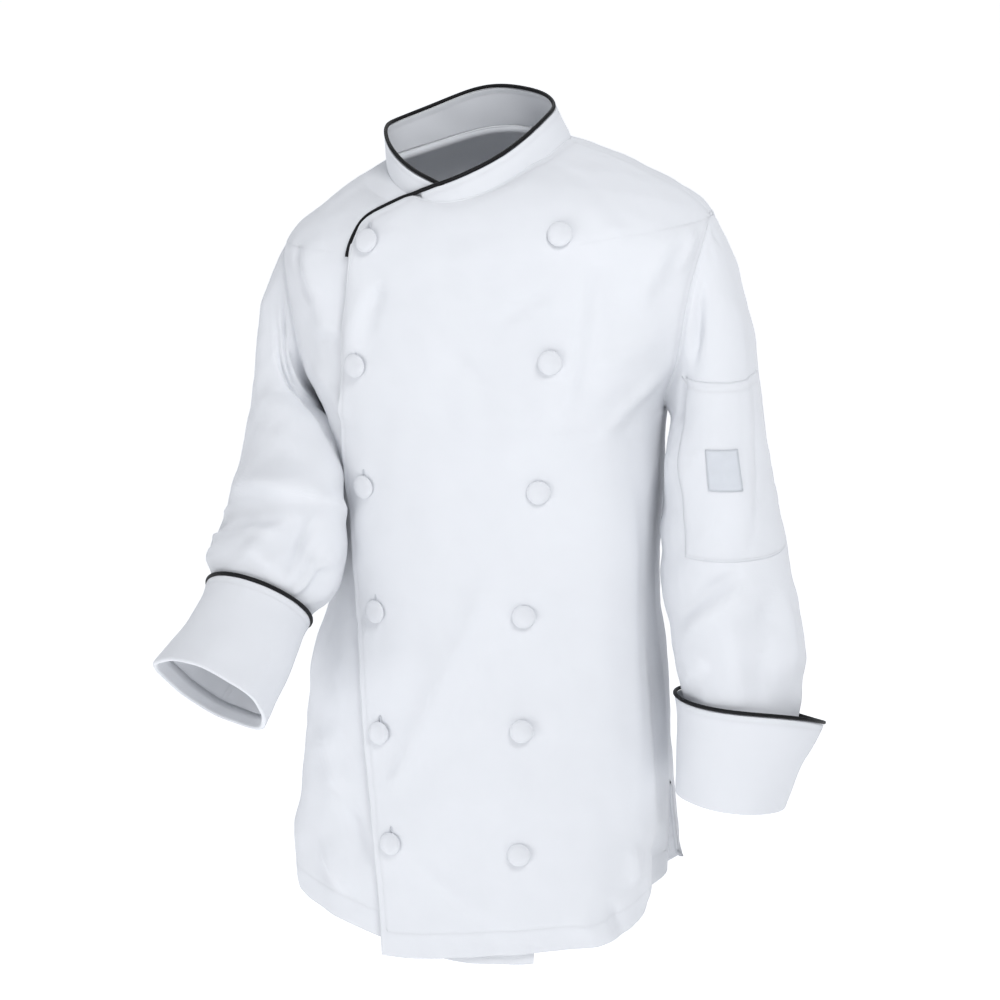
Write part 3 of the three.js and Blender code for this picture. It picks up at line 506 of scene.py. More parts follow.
def front_points(side, row, share):
    """Places on a front and their angles round the body."""
    way, cut = body_level(row, ARMHOLE_FRONT)
    squeeze = (top_way(side, share) - UNDERARM) / (NECK - SEAM - UNDERARM)
    way = np.where(way > UNDERARM, UNDERARM + (way - UNDERARM) * squeeze, way)
    way = way + hem_rise(side, share) * np.clip(1 - row, 0, 1)
    angle = share_angle(side, way, share, cut)
    return torso(side * angle, way, front_lift(side, angle, way)), side * angle


def back_points(row, share):
    """Places on the back and their angles; past shares 0 and 1 it goes on under the fronts."""
    way, cut = body_level(row, ARMHOLE_BACK)
    half = np.pi / 2 - seam_half(way)
    over = 2 * share - 1
    angle = np.pi + half * over - cut * np.clip(over, -1, 1) ** 3 * np.abs(np.clip(over, -1, 1))
    beside = 1 - ease(0, VENT_TURN, half * (1 - np.abs(over)))
    free = (1 - ease(HEM, HEM + VENT_WAY, way)) * beside
    rise = np.where(angle < np.pi, VENT_RISE_LEFT, VENT_RISE_RIGHT) * beside * np.clip(1 - row, 0, 1)
    under = np.clip((np.abs(over) - 1) / 0.03, 0, 1)
    return torso(angle, way + rise, VENT_FLARE * free - ALLOWANCE * under), angle


# Collar

def collar_points(degrees, share):
    """Places on the collar; below share 0 is its seam allowance, which lies under the body cloth."""
    angle = np.radians(degrees)
    height = curve(COLLAR["angle"], COLLAR["height"], degrees) * np.maximum(share, 0)
    height = height + 6 * np.minimum(share + 0.01, 0)
    lift = curve(COLLAR["angle"], COLLAR["lift"], degrees) - 3.2 * (share < 0)
    foot = torso(angle, np.full(angle.shape, NECK), lift)
    away = np.stack([np.sin(angle), -np.cos(angle), 0 * angle], -1)
    up = unit(np.array([-TORSO["rise"][-1] - COLLAR_TURN, 0, 1]))
    return foot - away * (COLLAR_LEAN * height)[..., None] + up * (height + 3 * SEAM)[..., None]


# Sleeves and cuffs

def section_ways(sections):
    return along_axis(sections["x"], sections["y"], sections["z"])


def section_at(sections, key, place):
    return curve(section_ways(sections), sections[key], place)


def ring_at(side, sections, place, out, forward):
    """Places beside the middle of a sleeve's ring, so far out to the side and so far forward."""
    def middle(at):
        return np.stack([section_at(sections, key, at) for key in "xyz"], -1)
    ahead = unit(middle(place + 4) - middle(place - 4))
    outside = unit(np.array([side, 0, 0]) - ahead * side * ahead[..., :1])
    front = unit(np.cross(ahead, outside)) * side
    return middle(place) + outside * out[..., None] + front * forward[..., None]


def ring_points(side, sections, place, turn):
    forward = section_at(sections, "deep", place) * np.sin(turn)
    out = section_at(sections, "across", place) * np.cos(turn)
    return ring_at(side, sections, place, out - section_at(sections, "skew", place) * forward, forward)


def armhole_rim(side, turn):
    """Angle and way of the armhole's edge at a turn round the sleeve."""
    way, cut = armhole_step(np.abs(1 - turn / np.pi))
    hollow = np.where(turn <= np.pi, -ARMHOLE_FRONT, ARMHOLE_BACK)
    return side * (np.pi / 2 + hollow * cut), way


def cap_points(side, sections, share, turn):
    """The sleeve's cap, from the armhole to the first section."""
    # It leaves the armhole downwards and outwards, and reaches the arm along the arm's own line
    leave = unit(np.stack([np.full(turn.shape, side * 0.5), -0.2 * np.sin(turn),
                           -0.7 - 0.1 * np.cos(turn)], -1))
    start = torso(*armhole_rim(side, turn)) + leave * 3.5 * SEAM
    none = np.zeros(turn.shape)
    end = ring_points(side, sections, none, turn)
    arrive = unit(ring_points(side, sections, none + 6, turn) - end)
    reach = np.linalg.norm(end - start, axis=-1, keepdims=True) * 0.95
    return hermite(share[..., None], start, leave * reach, end, arrive * reach)


def armhole_allowance(side, share, turn):
    """The sleeve's seam allowance, which lies under the body cloth; share grows away from the seam."""
    angle, way = armhole_rim(side, turn)
    middle = torso(side * np.pi / 2, 0 * way + (UNDERARM + TIP) / 2)
    onward = unit(torso(angle, way) - middle)
    return torso(angle, way, -ALLOWANCE) + onward * ARMHOLE_TURNING * share[..., None]


def sleeve_points(side, sections, row, turn):
    length = section_ways(sections)[-1]
    arm = ring_points(side, sections, np.maximum(0, row - CAP_ROWS) * length / ARM_ROWS, turn)
    cap = cap_points(side, sections, np.clip(row / CAP_ROWS, 0, 1), turn)
    allowance = armhole_allowance(side, -row, turn)
    return np.where((row < 0)[..., None], allowance, np.where((row < CAP_ROWS)[..., None], cap, arm))


def sleeve_fold(folds, down, turn):
    """Height of the part's broad folds on a sleeve."""
    degrees = np.degrees(turn)
    height = np.zeros(degrees.shape)
    for at, middle, slant, width, reach, rise in zip(*folds.values()):
        round_it = (degrees - middle + 540) % 360 - 180
        height += rise * bell(down - at - slant * round_it, width) * bell(round_it, reach)
    return height * ease(0.05, 0.2, down) * (1 - ease(0.72, 0.82, down))


def mouth_wave(side, turn):
    """How far a sleeve's mouth waves in and out; the right one is crumpled most."""
    wave = np.sin(3 * turn + 1.2) + 0.7 * np.sin(5 * turn + 0.5) + 0.4 * np.sin(8 * turn)
    return (0.6 if side > 0 else 2.1) * wave


def cuff_points(side, sections, flare, height, share, turn):
    """Places on a cuff; below share 0 it turns round the sleeve's mouth and back inside it."""
    behind, droop, inside = (flare * ((1 + np.cos(turn + at)) / 2) ** 2
                             for at in (np.pi / 5, np.pi / 3, np.pi))
    out = np.maximum(share, 0)
    stand = sum(curve(CUFF_STAND["share"], CUFF_STAND[key], out) * part
                for key, part in (("round", 1), ("behind", behind), ("inside", inside)))
    fold = np.clip(-share / CUFF_TURN, 0, 1) * np.pi
    stand = stand - FOLD_DEPTH * (1 - np.cos(fold))
    stand = stand + mouth_wave(side, turn) * (1 - ease(0, 0.55, share))
    place = section_ways(sections)[-1] + CUFF_PAST + FOLD_REACH * np.sin(fold)
    place = place - height * out * (1 - CUFF_DROOP * droop + CUFF_RISE * inside)
    place = place - height * np.clip(-share - CUFF_TURN, 0, 1)
    across = (section_at(sections, "across", place) + stand) * np.cos(turn)
    forward = (section_at(sections, "deep", place) + stand) * np.sin(turn)
    return ring_at(side, sections, place, across, forward)


# Creases

def crease_height(creases, a, b, girth, rise):
    """Height of hand-drawn creases at angles a (degrees) and places b."""
    height = np.zeros(a.shape)
    steps = np.linspace(0, 1, CREASE_STEPS + 1)[:, None]
    for a0, b0, a1, b1, a2, b2, one, other, peak in zip(*creases.values()):
        ends = np.array([(a0, b0), (a1, b1), (a2, b2)]) * (girth, rise)
        control = 2 * ends[1] - (ends[0] + ends[2]) / 2
        line = ends[0] * (1 - steps) ** 2 + control * 2 * steps * (1 - steps) + ends[2] * steps ** 2
        near = ((a - a1 + 180) % 360 - 180 + a1) * girth
        best = np.full(a.shape, np.inf)
        beside = np.zeros(a.shape)
        at = np.zeros(a.shape)
        for step in range(CREASE_STEPS):
            run = line[step + 1] - line[step]
            off_a, off_b = near - line[step][0], b * rise - line[step][1]
            along = np.clip((off_a * run[0] + off_b * run[1]) / (run @ run), 0, 1)
            gap = np.hypot(off_a - along * run[0], off_b - along * run[1])
            closer = gap < best
            best = np.where(closer, gap, best)
            beside = np.where(closer, off_a * run[1] - off_b * run[0], beside)
            at = np.where(closer, (step + along) / CREASE_STEPS, at)
        uneven = 1 + 0.18 * np.sin(7 * at + a0)
        taper = ease(-0.05, 0.35, at) * (1 - ease(0.65, 1.05, at))
        height += peak * uneven * taper * bell(best, np.where(beside > 0, one, other))
    return height


def unevenness(points, *scales):
    """Gentle waviness that hangs on the place in space, so that pieces that meet agree. Each scale
    has a height, a size and a seed."""
    total = np.zeros(points.shape[:-1])
    for height, size, seed in scales:
        rng = np.random.default_rng(seed)
        waves = np.zeros(points.shape[:-1])
        for wave in range(7):
            direction = unit(rng.normal(size=3)) * rng.uniform(0.7, 1.6) * 2 * np.pi / size
            waves += np.sin(points @ direction + rng.uniform(0, 6.28))
        total += height * waves / 3.5
    return total


# Grids of points and their distances from the edges

def spread(count):
    """Even shares from 0 to 1, with two more beside each end."""
    even = np.linspace(0, 1, count)
    extra = np.array([0.2, 0.5]) * even[1]
    return np.sort(np.concatenate([even, extra, 1 - extra]))


def normals(grid, ring):
    """Directions square to a grid."""
    if ring:
        across = np.roll(grid, -1, 1) - np.roll(grid, 1, 1)
    else:
        across = np.gradient(grid, axis=1)
    return unit(np.cross(across, np.gradient(grid, axis=0)))


def lengths(grid, axis):
    """Distance along a grid's lines from their start, and the whole line's length."""
    steps = np.linalg.norm(np.diff(grid, axis=axis), axis=-1)
    run = np.concatenate([np.zeros_like(np.take(steps, [0], axis)), np.cumsum(steps, axis)], axis)
    return run, np.take(run, [-1], axis)


def edge_distances(grid):
    """Millimetres of cloth to each edge: first row, last row, first column, last column."""
    up, high = lengths(grid, 0)
    over, wide = lengths(grid, 1)
    return {"low": up, "high": high - up, "first": over, "last": wide - over}


def nearest_line(gaps, lines):
    """Signed distance to the nearest stitched line, each given as an edge and how far in it is."""
    stitch = np.full(gaps["low"].shape, NO_STITCH)
    for edge, inset in lines:
        stitch = np.minimum(stitch, gaps[edge] - inset)
    return stitch


# Materials

def linear(code):
    """An sRGB hex colour as linear red, green, blue and alpha."""
    parts = [int(code[place:place + 2], 16) / 255 for place in (1, 3, 5)]
    return [p / 12.92 if p <= 0.04045 else ((p + 0.055) / 1.055) ** 2.4 for p in parts] + [1.0]


def new_material(name):
    """An empty material, with its nodes' tree."""
    material = bpy.data.materials.new(name)
    material.use_nodes = True
    return material, material.node_tree


def node(tree, kind, settings=None, **links):
    """Adds a node. A link's name is an input, with _ for a space or a number for its index."""
    made = tree.nodes.new("ShaderNode" + kind)
    for key, value in (settings or {}).items():
        setattr(made, key, value)
    for name, source in links.items():
        place = int(name[1:]) if name[1:].isdigit() else name.replace("_", " ")
        if isinstance(source, bpy.types.NodeSocket):
            tree.links.new(source, made.inputs[place])
        else:
            made.inputs[place].default_value = source
    return made.outputs[0]


def calc(tree, operation, first, second=0.0, third=0.0):
    return node(tree, "Math", {"operation": operation}, i0=first, i1=second, i2=third)


def attribute(tree, name):
    made = tree.nodes.new("ShaderNodeAttribute")
    made.attribute_name = name
    return made.outputs["Fac"]


def cloth_axes(tree):
    """The piece's own coordinates in metres, across the cloth and along it."""
    parts = tree.nodes.new("ShaderNodeSeparateXYZ")
    tree.links.new(node(tree, "UVMap", {"uv_map": "cloth"}), parts.inputs[0])
    return parts.outputs[0], parts.outputs[1]


def ridges(tree, along, pitch):
    """A wave that repeats every pitch millimetres."""
    return calc(tree, "SINE", calc(tree, "MULTIPLY", along, 2 * np.pi / (pitch * MM)))


def noise(tree, **settings):
    """Noise that hangs on the place in the object."""
    place = tree.nodes.new("ShaderNodeTexCoord").outputs["Object"]
    return node(tree, "TexNoise", Vector=place, **settings)


def weighted(tree, total, *terms):
    """A start value plus each term times its weight."""
    for term, weight in terms:
        total = calc(tree, "MULTIPLY_ADD", term, weight, total)
    return total


def surface(material, colour, shade, relief, depth, strength, **settings):
    """Gives a material its colour, scaled by shade, its relief, depth millimetres high, and the
    shader's other values."""
    tree = material.node_tree
    shader = tree.nodes["Principled BSDF"]
    base = tree.nodes.new("ShaderNodeRGB")
    base.outputs[0].default_value = linear(colour)
    tinted = node(tree, "VectorMath", {"operation": "SCALE"}, i0=base.outputs[0], Scale=shade)
    tree.links.new(tinted, shader.inputs["Base Color"])
    bump = node(tree, "Bump", Height=relief, Distance=depth * MM, Strength=strength)
    tree.links.new(bump, shader.inputs["Normal"])
    for key, value in settings.items():
        shader.inputs[key.replace("_", " ")].default_value = value
    return material


def cloth_material(name, colour, weave):
    """Polyester-cotton twill: a matt white with a fine diagonal rib, soft fuzz, slightly uneven
    whiteness, and lockstitched lines where the piece says that they run, with painted shade in their
    valleys."""
    material, tree = new_material(name)
    across, down = cloth_axes(tree)

    # The rib: one diagonal every 0.9 mm, a little coarser than real twill so that it can be seen
    rib = ridges(tree, calc(tree, "ADD", across, down), 0.9)
    threads = ridges(tree, across, 0.55)
    fuzz = noise(tree, Scale=900.0, Detail=3.0)
    cloudy = noise(tree, Scale=16.0, Detail=3.0, Roughness=0.5)

    # Stitched lines: a shallow valley pulled into the cloth, with the thread's dashes in it, and
    # painted shade that darkens the valley's colour
    off = calc(tree, "ABSOLUTE", attribute(tree, "stitch"))
    beside = calc(tree, "DIVIDE", off, 2.2)
    falling = calc(tree, "MULTIPLY", calc(tree, "MULTIPLY", beside, beside), -1.0)
    valley = calc(tree, "EXPONENT", falling)
    dash = calc(tree, "FRACT", calc(tree, "DIVIDE", attribute(tree, "run"), 3.2))
    dash = calc(tree, "LESS_THAN", dash, 0.68)
    thread = calc(tree, "MULTIPLY", calc(tree, "LESS_THAN", off, 0.42), dash)

    relief = weighted(tree, 0.0, (rib, weave * 0.045), (threads, weave * 0.02), (fuzz, 0.05),
                      (valley, -0.24), (thread, 0.34))
    # Colour: slightly uneven whiteness, the rib, and painted shade 2 % darker in the stitched lines'
    # valleys
    shade = weighted(tree, 0.955, (cloudy, 0.05), (rib, 0.012), (valley, -0.022))
    return surface(material, colour, shade, relief, 1.0, 0.8, Roughness=0.86, Specular_IOR_Level=0.25,
                   Sheen_Weight=0.12, Sheen_Roughness=0.6)


def piping_material():
    """Black bias-cut satin over a cord: a soft highlight along it and slanting threads."""
    material, tree = new_material("black_piping")
    across, down = cloth_axes(tree)
    threads = ridges(tree, calc(tree, "ADD", across, down), 0.8)
    shade = weighted(tree, 0.75, (noise(tree, Scale=60.0, Detail=2.0), 0.5))
    return surface(material, "#0c0c0f", shade, threads, 0.08, 0.7, Roughness=0.5,
                   Specular_IOR_Level=0.2)


def label_material():
    """Bare woven ribbon: pale grey satin with a close crosswise rib and a denser folded border."""
    material, tree = new_material("woven_label")
    _, down = cloth_axes(tree)
    rib = ridges(tree, down, 0.7)
    border = calc(tree, "LESS_THAN", attribute(tree, "stitch"), 0.0)
    cloudy = noise(tree, Scale=120.0, Detail=2.0)
    shade = weighted(tree, 0.95, (cloudy, 0.08), (rib, 0.02), (border, -0.05))
    return surface(material, "#cfd3d9", shade, rib, 0.1, 0.6, Roughness=0.55)


def thread_material():
    """White buttonhole twist: slightly glossy, with its turns showing across the bar."""
    material, tree = new_material("white_thread")
    _, down = cloth_axes(tree)
    turns = ridges(tree, down, 0.8)
    shade = weighted(tree, 0.96, (turns, 0.04))
    return surface(material, "#dfe2e8", shade, turns, 0.2, 0.9, Roughness=0.5)


TWILL = cloth_material("white_twill", "#e0e2e6", 1.0)
COVERED = cloth_material("button_cloth", "#dcdee2", 0.6)
PIPING = piping_material()
LABEL = label_material()
THREAD = thread_material()


# Making meshes

def make_object(name, bm, material):
    mesh = bpy.data.meshes.new(name)
    bm.to_mesh(mesh)
    bm.free()
    mesh.materials.append(material)
    for face in mesh.polygons:
        face.use_smooth = True
    made = bpy.data.objects.new(name, mesh)
    bpy.context.scene.collection.objects.link(made)
    return made


def jacket_piece(name, bm, material, has_solid=True):
    """A piece that rides on the jacket's one body, in place of the solid of its name if it has one."""
    made = make_object(name, bm, material)
    made.data.uv_layers[0].name = "cloth"
    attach(made, "root")
    if has_solid:
        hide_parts(name)
    return made


def grid_mesh(grid, outside, ring, stitch=NO_STITCH, run=NO_STITCH):
    """A bmesh sheet through a grid of places in millimetres, facing the given directions, with its
    cloth coordinates in metres and its stitching distances."""
    stitch, run = (np.broadcast_to(values, grid.shape[:2]) for values in (stitch, run))
    if ring:
        grid, outside, stitch, run = (np.concatenate([values, values[:, :1]], 1)
                                      for values in (grid, outside, stitch, run))
    rows, columns = grid.shape[:2]
    bm = bmesh.new()
    bmesh.ops.create_grid(bm, x_segments=columns - 1, y_segments=rows - 1, size=0.5, calc_uvs=True)
    over, _ = lengths(grid, 1)
    up, _ = lengths(grid, 0)
    middle = columns // 2
    across = over - over[:, middle:middle + 1] + over[rows // 2, middle]
    layers = [(bm.verts.layers.float.new("stitch"), stitch), (bm.verts.layers.float.new("run"), run)]
    places = [(round((vertex.co.y + 0.5) * (rows - 1)), round((vertex.co.x + 0.5) * (columns - 1)))
              for vertex in bm.verts]
    for vertex, (row, column) in zip(bm.verts, places):
        vertex.co = Vector(grid[row, column] * MM)
        for layer, values in layers:
            vertex[layer] = values[row, column]
    cloth_uv = bm.loops.layers.uv.verify()
    bm.verts.index_update()
    for face in bm.faces:
        for loop in face.loops:
            row, column = places[loop.vert.index]
            loop[cloth_uv].uv = (across[row, column] * MM, up[row, column] * MM)
    bm.faces.ensure_lookup_table()
    sample = bm.faces[len(bm.faces) // 2]
    sample.normal_update()
    if sample.normal.dot(Vector(outside[places[sample.verts[0].index]])) < 0:
        bmesh.ops.reverse_faces(bm, faces=bm.faces)
    if ring:
        bmesh.ops.remove_doubles(bm, verts=bm.verts, dist=1e-7)
    return bm


def close_ends(bm):
    """Closes the small rings at a piece's ends and turns all faces outwards."""
    open_edges = [edge for edge in bm.edges if edge.is_boundary]
    bmesh.ops.holes_fill(bm, edges=open_edges, sides=0)
    bmesh.ops.recalc_face_normals(bm, faces=bm.faces)
    return bm


def cloth_object(name, grid, outside, stitch, run, wall=WALL, ring=False, material=TWILL, slot="cloth"):
    """A piece of cloth with a wall, on the grid of its outer face."""
    made = jacket_piece(name, grid_mesh(grid, outside, ring, stitch, run), material)
    solid = made.modifiers.new("wall", "SOLIDIFY")
    solid.thickness = wall * MM
    solid.offset = -1.0
    solid.use_even_offset = False


def tube_grid(path, radius, sides=12, closed=False):
    """Rings of places round a path, and the directions out of it."""
    if closed:
        ahead = unit(np.roll(path, -1, 0) - np.roll(path, 1, 0))
    else:
        ahead = unit(np.gradient(path, axis=0))
    side = unit(np.cross(ahead, np.array([0.13, 0.31, 0.94])))
    up = np.cross(side, ahead)
    turn = np.linspace(0, 2 * np.pi, sides, endpoint=False)
    out = side[:, None] * np.cos(turn)[:, None] + up[:, None] * np.sin(turn)[:, None]
    return path[:, None] + out * radius, out


def cord_object(name, path):
    """A piped edge: a round cord in its cover, closed at its ends."""
    grid, out = tube_grid(path, PIPING_RADIUS)
    ends = [path[end, None] + (grid[end] - path[end]) * 0.05 for end in (0, -1)]
    grid = np.concatenate([ends[0][None], grid, ends[1][None]])
    out = np.concatenate([out[:1], out, out[-1:]])
    jacket_piece(name, close_ends(grid_mesh(grid, out, True)), PIPING)


# Body panels

def body_relief(points, angle, gaps):
    """How far the cloth stands off its form: creases, gentle waves, and the pull of the seams."""
    height = crease_height(BODY_CREASES, round_body(angle), points[..., 2], BODY_GIRTH, 1.0)
    height += unevenness(points, (1.5, 120, 3), (0.7, 42, 5), (0.16, 17, 6))
    near = np.minimum(gaps["seam"], gaps["high"])
    return height * ease(0, 22, near) - 0.7 * bell(gaps["seam"], 2.6)


def tucked(grid, outside, *others):
    """The grid with one more row at its top, which goes on under the next piece."""
    onward = unit(grid[-1:] - grid[-2:-1])
    grid = np.concatenate([grid, grid[-1:] + onward * TUCK_REACH - outside[-1:] * TUCK_DEPTH])
    return [grid, *(np.concatenate([values, values[-1:]]) for values in (outside, *others))]


def body_rows():
    """Rows from the hem to the collar seam, close together where the armhole curves most."""
    share = np.linspace(0, 1, 400)
    even = (1 + np.sin(np.linspace(-np.pi / 2, np.pi / 2, ARMHOLE_LINES))) / 2
    armhole = BODY_ROWS + ARMHOLE_ROWS * np.interp(even, armhole_up(share), share)
    tip = BODY_ROWS + ARMHOLE_ROWS
    top = tip + SHOULDER_ROWS
    lower = np.linspace(0, BODY_ROWS, LOWER_LINES)
    shoulder = np.linspace(tip, top, SHOULDER_LINES)
    edges = [0.02, 0.06, top - 0.1, top - 0.03]
    return np.sort(np.concatenate([lower, armhole[1:], shoulder[1:], edges]))


def front_object(side):
    row, share = np.meshgrid(body_rows(), spread(FRONT_COLUMNS) ** 0.95, indexing="ij")
    grid, angle = front_points(side, row, share)
    outside = normals(grid, False) * side
    gaps = edge_distances(grid)
    gaps["seam"] = gaps["last"]
    grid = grid + outside * body_relief(grid, angle, gaps)[..., None]
    lines = [("low", HEM_STITCH), ("last", EDGE_STITCH)]
    if side > 0:
        lines += [("first", EDGE_STITCH), ("high", EDGE_STITCH)]
    stitch = nearest_line(gaps, lines)
    level = (stitch == gaps["low"] - HEM_STITCH) | (stitch == gaps["high"] - EDGE_STITCH)
    run = np.where(level, gaps["first"], gaps["low"])
    name = "left_front" if side > 0 else "right_front"
    cloth_object(name, *tucked(grid, outside, stitch, run))
    return grid, outside


def back_object():
    share = np.concatenate([[-0.012, -0.005], spread(BACK_COLUMNS), [1.005, 1.012]])
    row, share = np.meshgrid(body_rows(), share, indexing="ij")
    below_vent = (row < 2.5) & ((share < 0) | (share > 1))
    grid, angle = back_points(row, np.where(below_vent, np.clip(share, 0.0002, 0.9998), share))
    outside = normals(grid, False)
    gaps = edge_distances(grid)
    gaps["first"] = np.maximum(gaps["first"] - gaps["first"][:, 2:3], 0)
    gaps["last"] = np.maximum(gaps["last"] - gaps["last"][:, -3:-2], 0)
    gaps["seam"] = np.minimum(gaps["first"], gaps["last"])
    grid = grid + outside * body_relief(grid, angle, gaps)[..., None]
    stitch = nearest_line(gaps, [("low", HEM_STITCH), ("seam", EDGE_STITCH)])
    run = np.where(stitch == gaps["low"] - HEM_STITCH, gaps["first"], gaps["low"])
    cloth_object("back", *tucked(grid, outside, stitch, run))


left_grid, left_out = front_object(1)
front_object(-1)
back_object()


# Collar and the piping of collar and front

def resample(step, path, *others):
    """The same path at even steps, and with it what else is given along it."""
    run = along_axis(*path.T)
    at = np.linspace(0, run[-1], int(run[-1] / step) + 1)
    return [np.stack([np.interp(at, run, values[:, axis]) for axis in range(3)], -1)
            for values in (path, *others)]


def smooth(path, turns):
    """The same path with its small kinks evened out; its ends stay."""
    for turn in range(turns):
        path = np.concatenate([path[:1], (path[:-2] + 2 * path[1:-1] + path[2:]) / 4, path[-1:]])
    return path


def piped_path(edge, outside, inner, wall, gap):
    """A path just past an edge of cloth, in the middle of its wall. inner is a place on the cloth."""
    edge, out = resample(2.5, edge, outside)
    edge, out = smooth(edge, 4), unit(smooth(out, 4))
    past = unit(np.cross(np.gradient(edge, axis=0), out))
    middle = len(edge) // 2
    if np.dot(past[middle], edge[middle] - inner) < 0:
        past = -past
    return smooth(edge - out * wall / 2 + past * gap, 4)


def collar_object():
    degrees = np.linspace(COLLAR["angle"][0], COLLAR["angle"][-1], COLLAR_COLUMNS)
    share = np.concatenate([[-1, -0.3], spread(COLLAR_LINES)])
    degrees, share = np.meshgrid(degrees, share, indexing="xy")
    grid = collar_points(degrees, share)
    outside = normals(collar_points(degrees, np.maximum(share, 0.0) + 0.0001 * share), False)
    gaps = edge_distances(grid)
    gaps["low"] = np.maximum(gaps["low"] - gaps["low"][2:3], 0)
    near = np.minimum(gaps["low"], gaps["high"])
    height = unevenness(grid, (0.5, 50, 8)) * ease(0, 8, near) - 0.3 * bell(gaps["high"], 2.2)
    grid = grid + outside * (height * (share >= 0))[..., None]
    stitch = nearest_line(gaps, [("high", COLLAR_STITCH)])
    cloth_object("collar", grid, outside, stitch, gaps["first"], COLLAR_WALL)
    return grid, outside


def collar_piping():
    inner = collar_grid[-6, COLLAR_COLUMNS // 2]
    path = piped_path(collar_grid[-1], collar_out[-1], inner, COLLAR_WALL, PIPING_GAP)
    cord_object("collar_piping", path)
    return path


def front_piping():
    """Runs up the front edge from its foot and along the slant to the start of the collar's."""
    foot = int(np.argmax(left_grid[:, 0, 2] > PIPING_FOOT))
    end = int(np.argmax(left_grid[-1, :, 0] > collar_grid[2, 0, 0] - 2))
    edge, out = (np.concatenate([values[foot:-1, 0], values[-1, :end]])
                 for values in (left_grid, left_out))
    path = piped_path(edge, out, left_grid[-20, 20], WALL, PIPING_RADIUS + SEAM)
    path = smooth(np.concatenate([path[:-2], collar_top[:1]]), 6)
    cord_object("front_piping", *resample(2.0, path))


collar_grid, collar_out = collar_object()
collar_top = collar_piping()
front_piping()


# Sleeves, cuffs, pocket and label

def sleeve_relief(points, creases, down, turn, near):
    height = crease_height(creases, np.degrees(turn), down * 1000, SLEEVE_GIRTH, SLEEVE_LENGTH)
    height += unevenness(points, (1.2, 90, 11), (0.65, 36, 12), (0.16, 15, 13))
    return height * ease(0, 16, near) * (1 - ease(0.80, 0.86, down)) - 0.6 * bell(near, 2.6)


def sleeve_outside(side, grid):
    """Outward directions on a sleeve, whose first two rows are its seam allowance."""
    outside = normals(grid[2:], True) * side
    return np.concatenate([outside[:1], outside[:1], outside])


def sleeve_object(name, side, sections, folds, creases):
    turn = np.linspace(0, 2 * np.pi, SLEEVE_COLUMNS, endpoint=False)
    row = np.concatenate([[-1, -0.4, 0, 0.05, 0.12], np.linspace(0, CAP_ROWS, CAP_LINES)[1:],
                          np.linspace(CAP_ROWS, CAP_ROWS + ARM_ROWS, ARM_LINES)[1:]])
    row, turn = np.meshgrid(np.sort(row), turn, indexing="ij")
    grid = sleeve_points(side, sections, row, turn)
    down = np.maximum(row, 0) / (CAP_ROWS + ARM_ROWS)
    up, _ = lengths(grid, 0)
    height = sleeve_fold(folds, down, turn)
    height += sleeve_relief(grid, creases, down, turn, np.maximum(up - up[2], 0))
    height += mouth_wave(side, turn) * ease(0.88, 1, down)
    grid = grid + sleeve_outside(side, grid) * (height * (row >= 0))[..., None]
    outside = sleeve_outside(side, grid)
    seam = np.abs((np.degrees(turn) - SLEEVE_SEAM + 180) % 360 - 180) * SLEEVE_GIRTH
    cloth_object(name, grid, outside, np.minimum(seam - 3, NO_STITCH), up, WALL, True)
    return grid, outside


def cuff_object(name, side, sections, flare, tall):
    turn = np.linspace(0, 2 * np.pi, SLEEVE_COLUMNS, endpoint=False)
    fold = np.linspace(-CUFF_TURN, -0.006, 8)
    share = np.concatenate([[-0.20, -0.13, -0.07], fold, spread(CUFF_LINES)])
    share, turn = np.meshgrid(share, turn, indexing="ij")
    grid = cuff_points(side, sections, flare, tall, share, turn)
    outside = normals(grid, True) * -side
    up, high = lengths(grid, 0)
    near = high - up
    height = unevenness(grid, (0.45, 60, 21)) * ease(0, 0.15, share) * ease(0, 12, near)
    grid = grid + outside * (height - 0.8 * bell(near, 2.4))[..., None]
    stitch = np.minimum(near - CUFF_STITCH, NO_STITCH)
    cloth_object(name, grid, outside, stitch, np.degrees(turn) * SLEEVE_GIRTH, CUFF_WALL, True)
    rim = grid[-1] + unit(grid[-1] - grid[-4]) * PIPING_GAP
    cord_object(name + "_piping", np.concatenate([rim, rim[:1]]))


def patch_grid(first, last, top, bottom, rows, lift):
    """A patch of the left sleeve between two columns and two heights, lifted off it."""
    levels = np.linspace(top, bottom, rows)

    def at_levels(values):
        return np.stack([[np.interp(-levels, -left_arm[2:, column, 2], values[2:, column, axis])
                          for column in range(first, last + 1)] for axis in range(3)]).T
    ways = unit(at_levels(left_arm_out))
    return at_levels(left_arm) + ways * lift, ways


def pocket_object():
    """The pocket's edges are drawn down by their seams; a divider and a second row close its foot."""
    grid, outside = patch_grid(*POCKET_COLUMNS, POCKET_TOP, POCKET_BOTTOM, 60, POCKET_WALL + SEAM)
    gaps = edge_distances(grid)
    pull = 1.1 * bell(np.minimum.reduce(list(gaps.values())), 1.6)
    pull += 0.4 * bell(gaps["last"] - POCKET_DIVIDER, 2.2) + 0.3 * bell(gaps["high"] - POCKET_FOOT, 2.2)
    grid = grid - outside * pull[..., None]
    sides = [(edge, POCKET_STITCH) for edge in ("high", "first", "last")]
    stitch = nearest_line(gaps, [("low", POCKET_BAND), *sides])
    run = np.where(stitch == gaps["low"] - POCKET_BAND, gaps["first"], gaps["low"])
    cloth_object("sleeve_pocket", grid, outside, stitch, run, POCKET_WALL)


def label_object():
    lift = POCKET_WALL + LABEL_WALL + 0.5
    grid, outside = patch_grid(*LABEL_COLUMNS, LABEL_TOP, LABEL_BOTTOM, 16, lift)
    gaps = edge_distances(grid)
    stitch = nearest_line(gaps, [(edge, LABEL_STITCH) for edge in ("low", "high", "first", "last")])
    cloth_object("label", grid, outside, stitch, gaps["low"], LABEL_WALL, material=LABEL, slot="label")


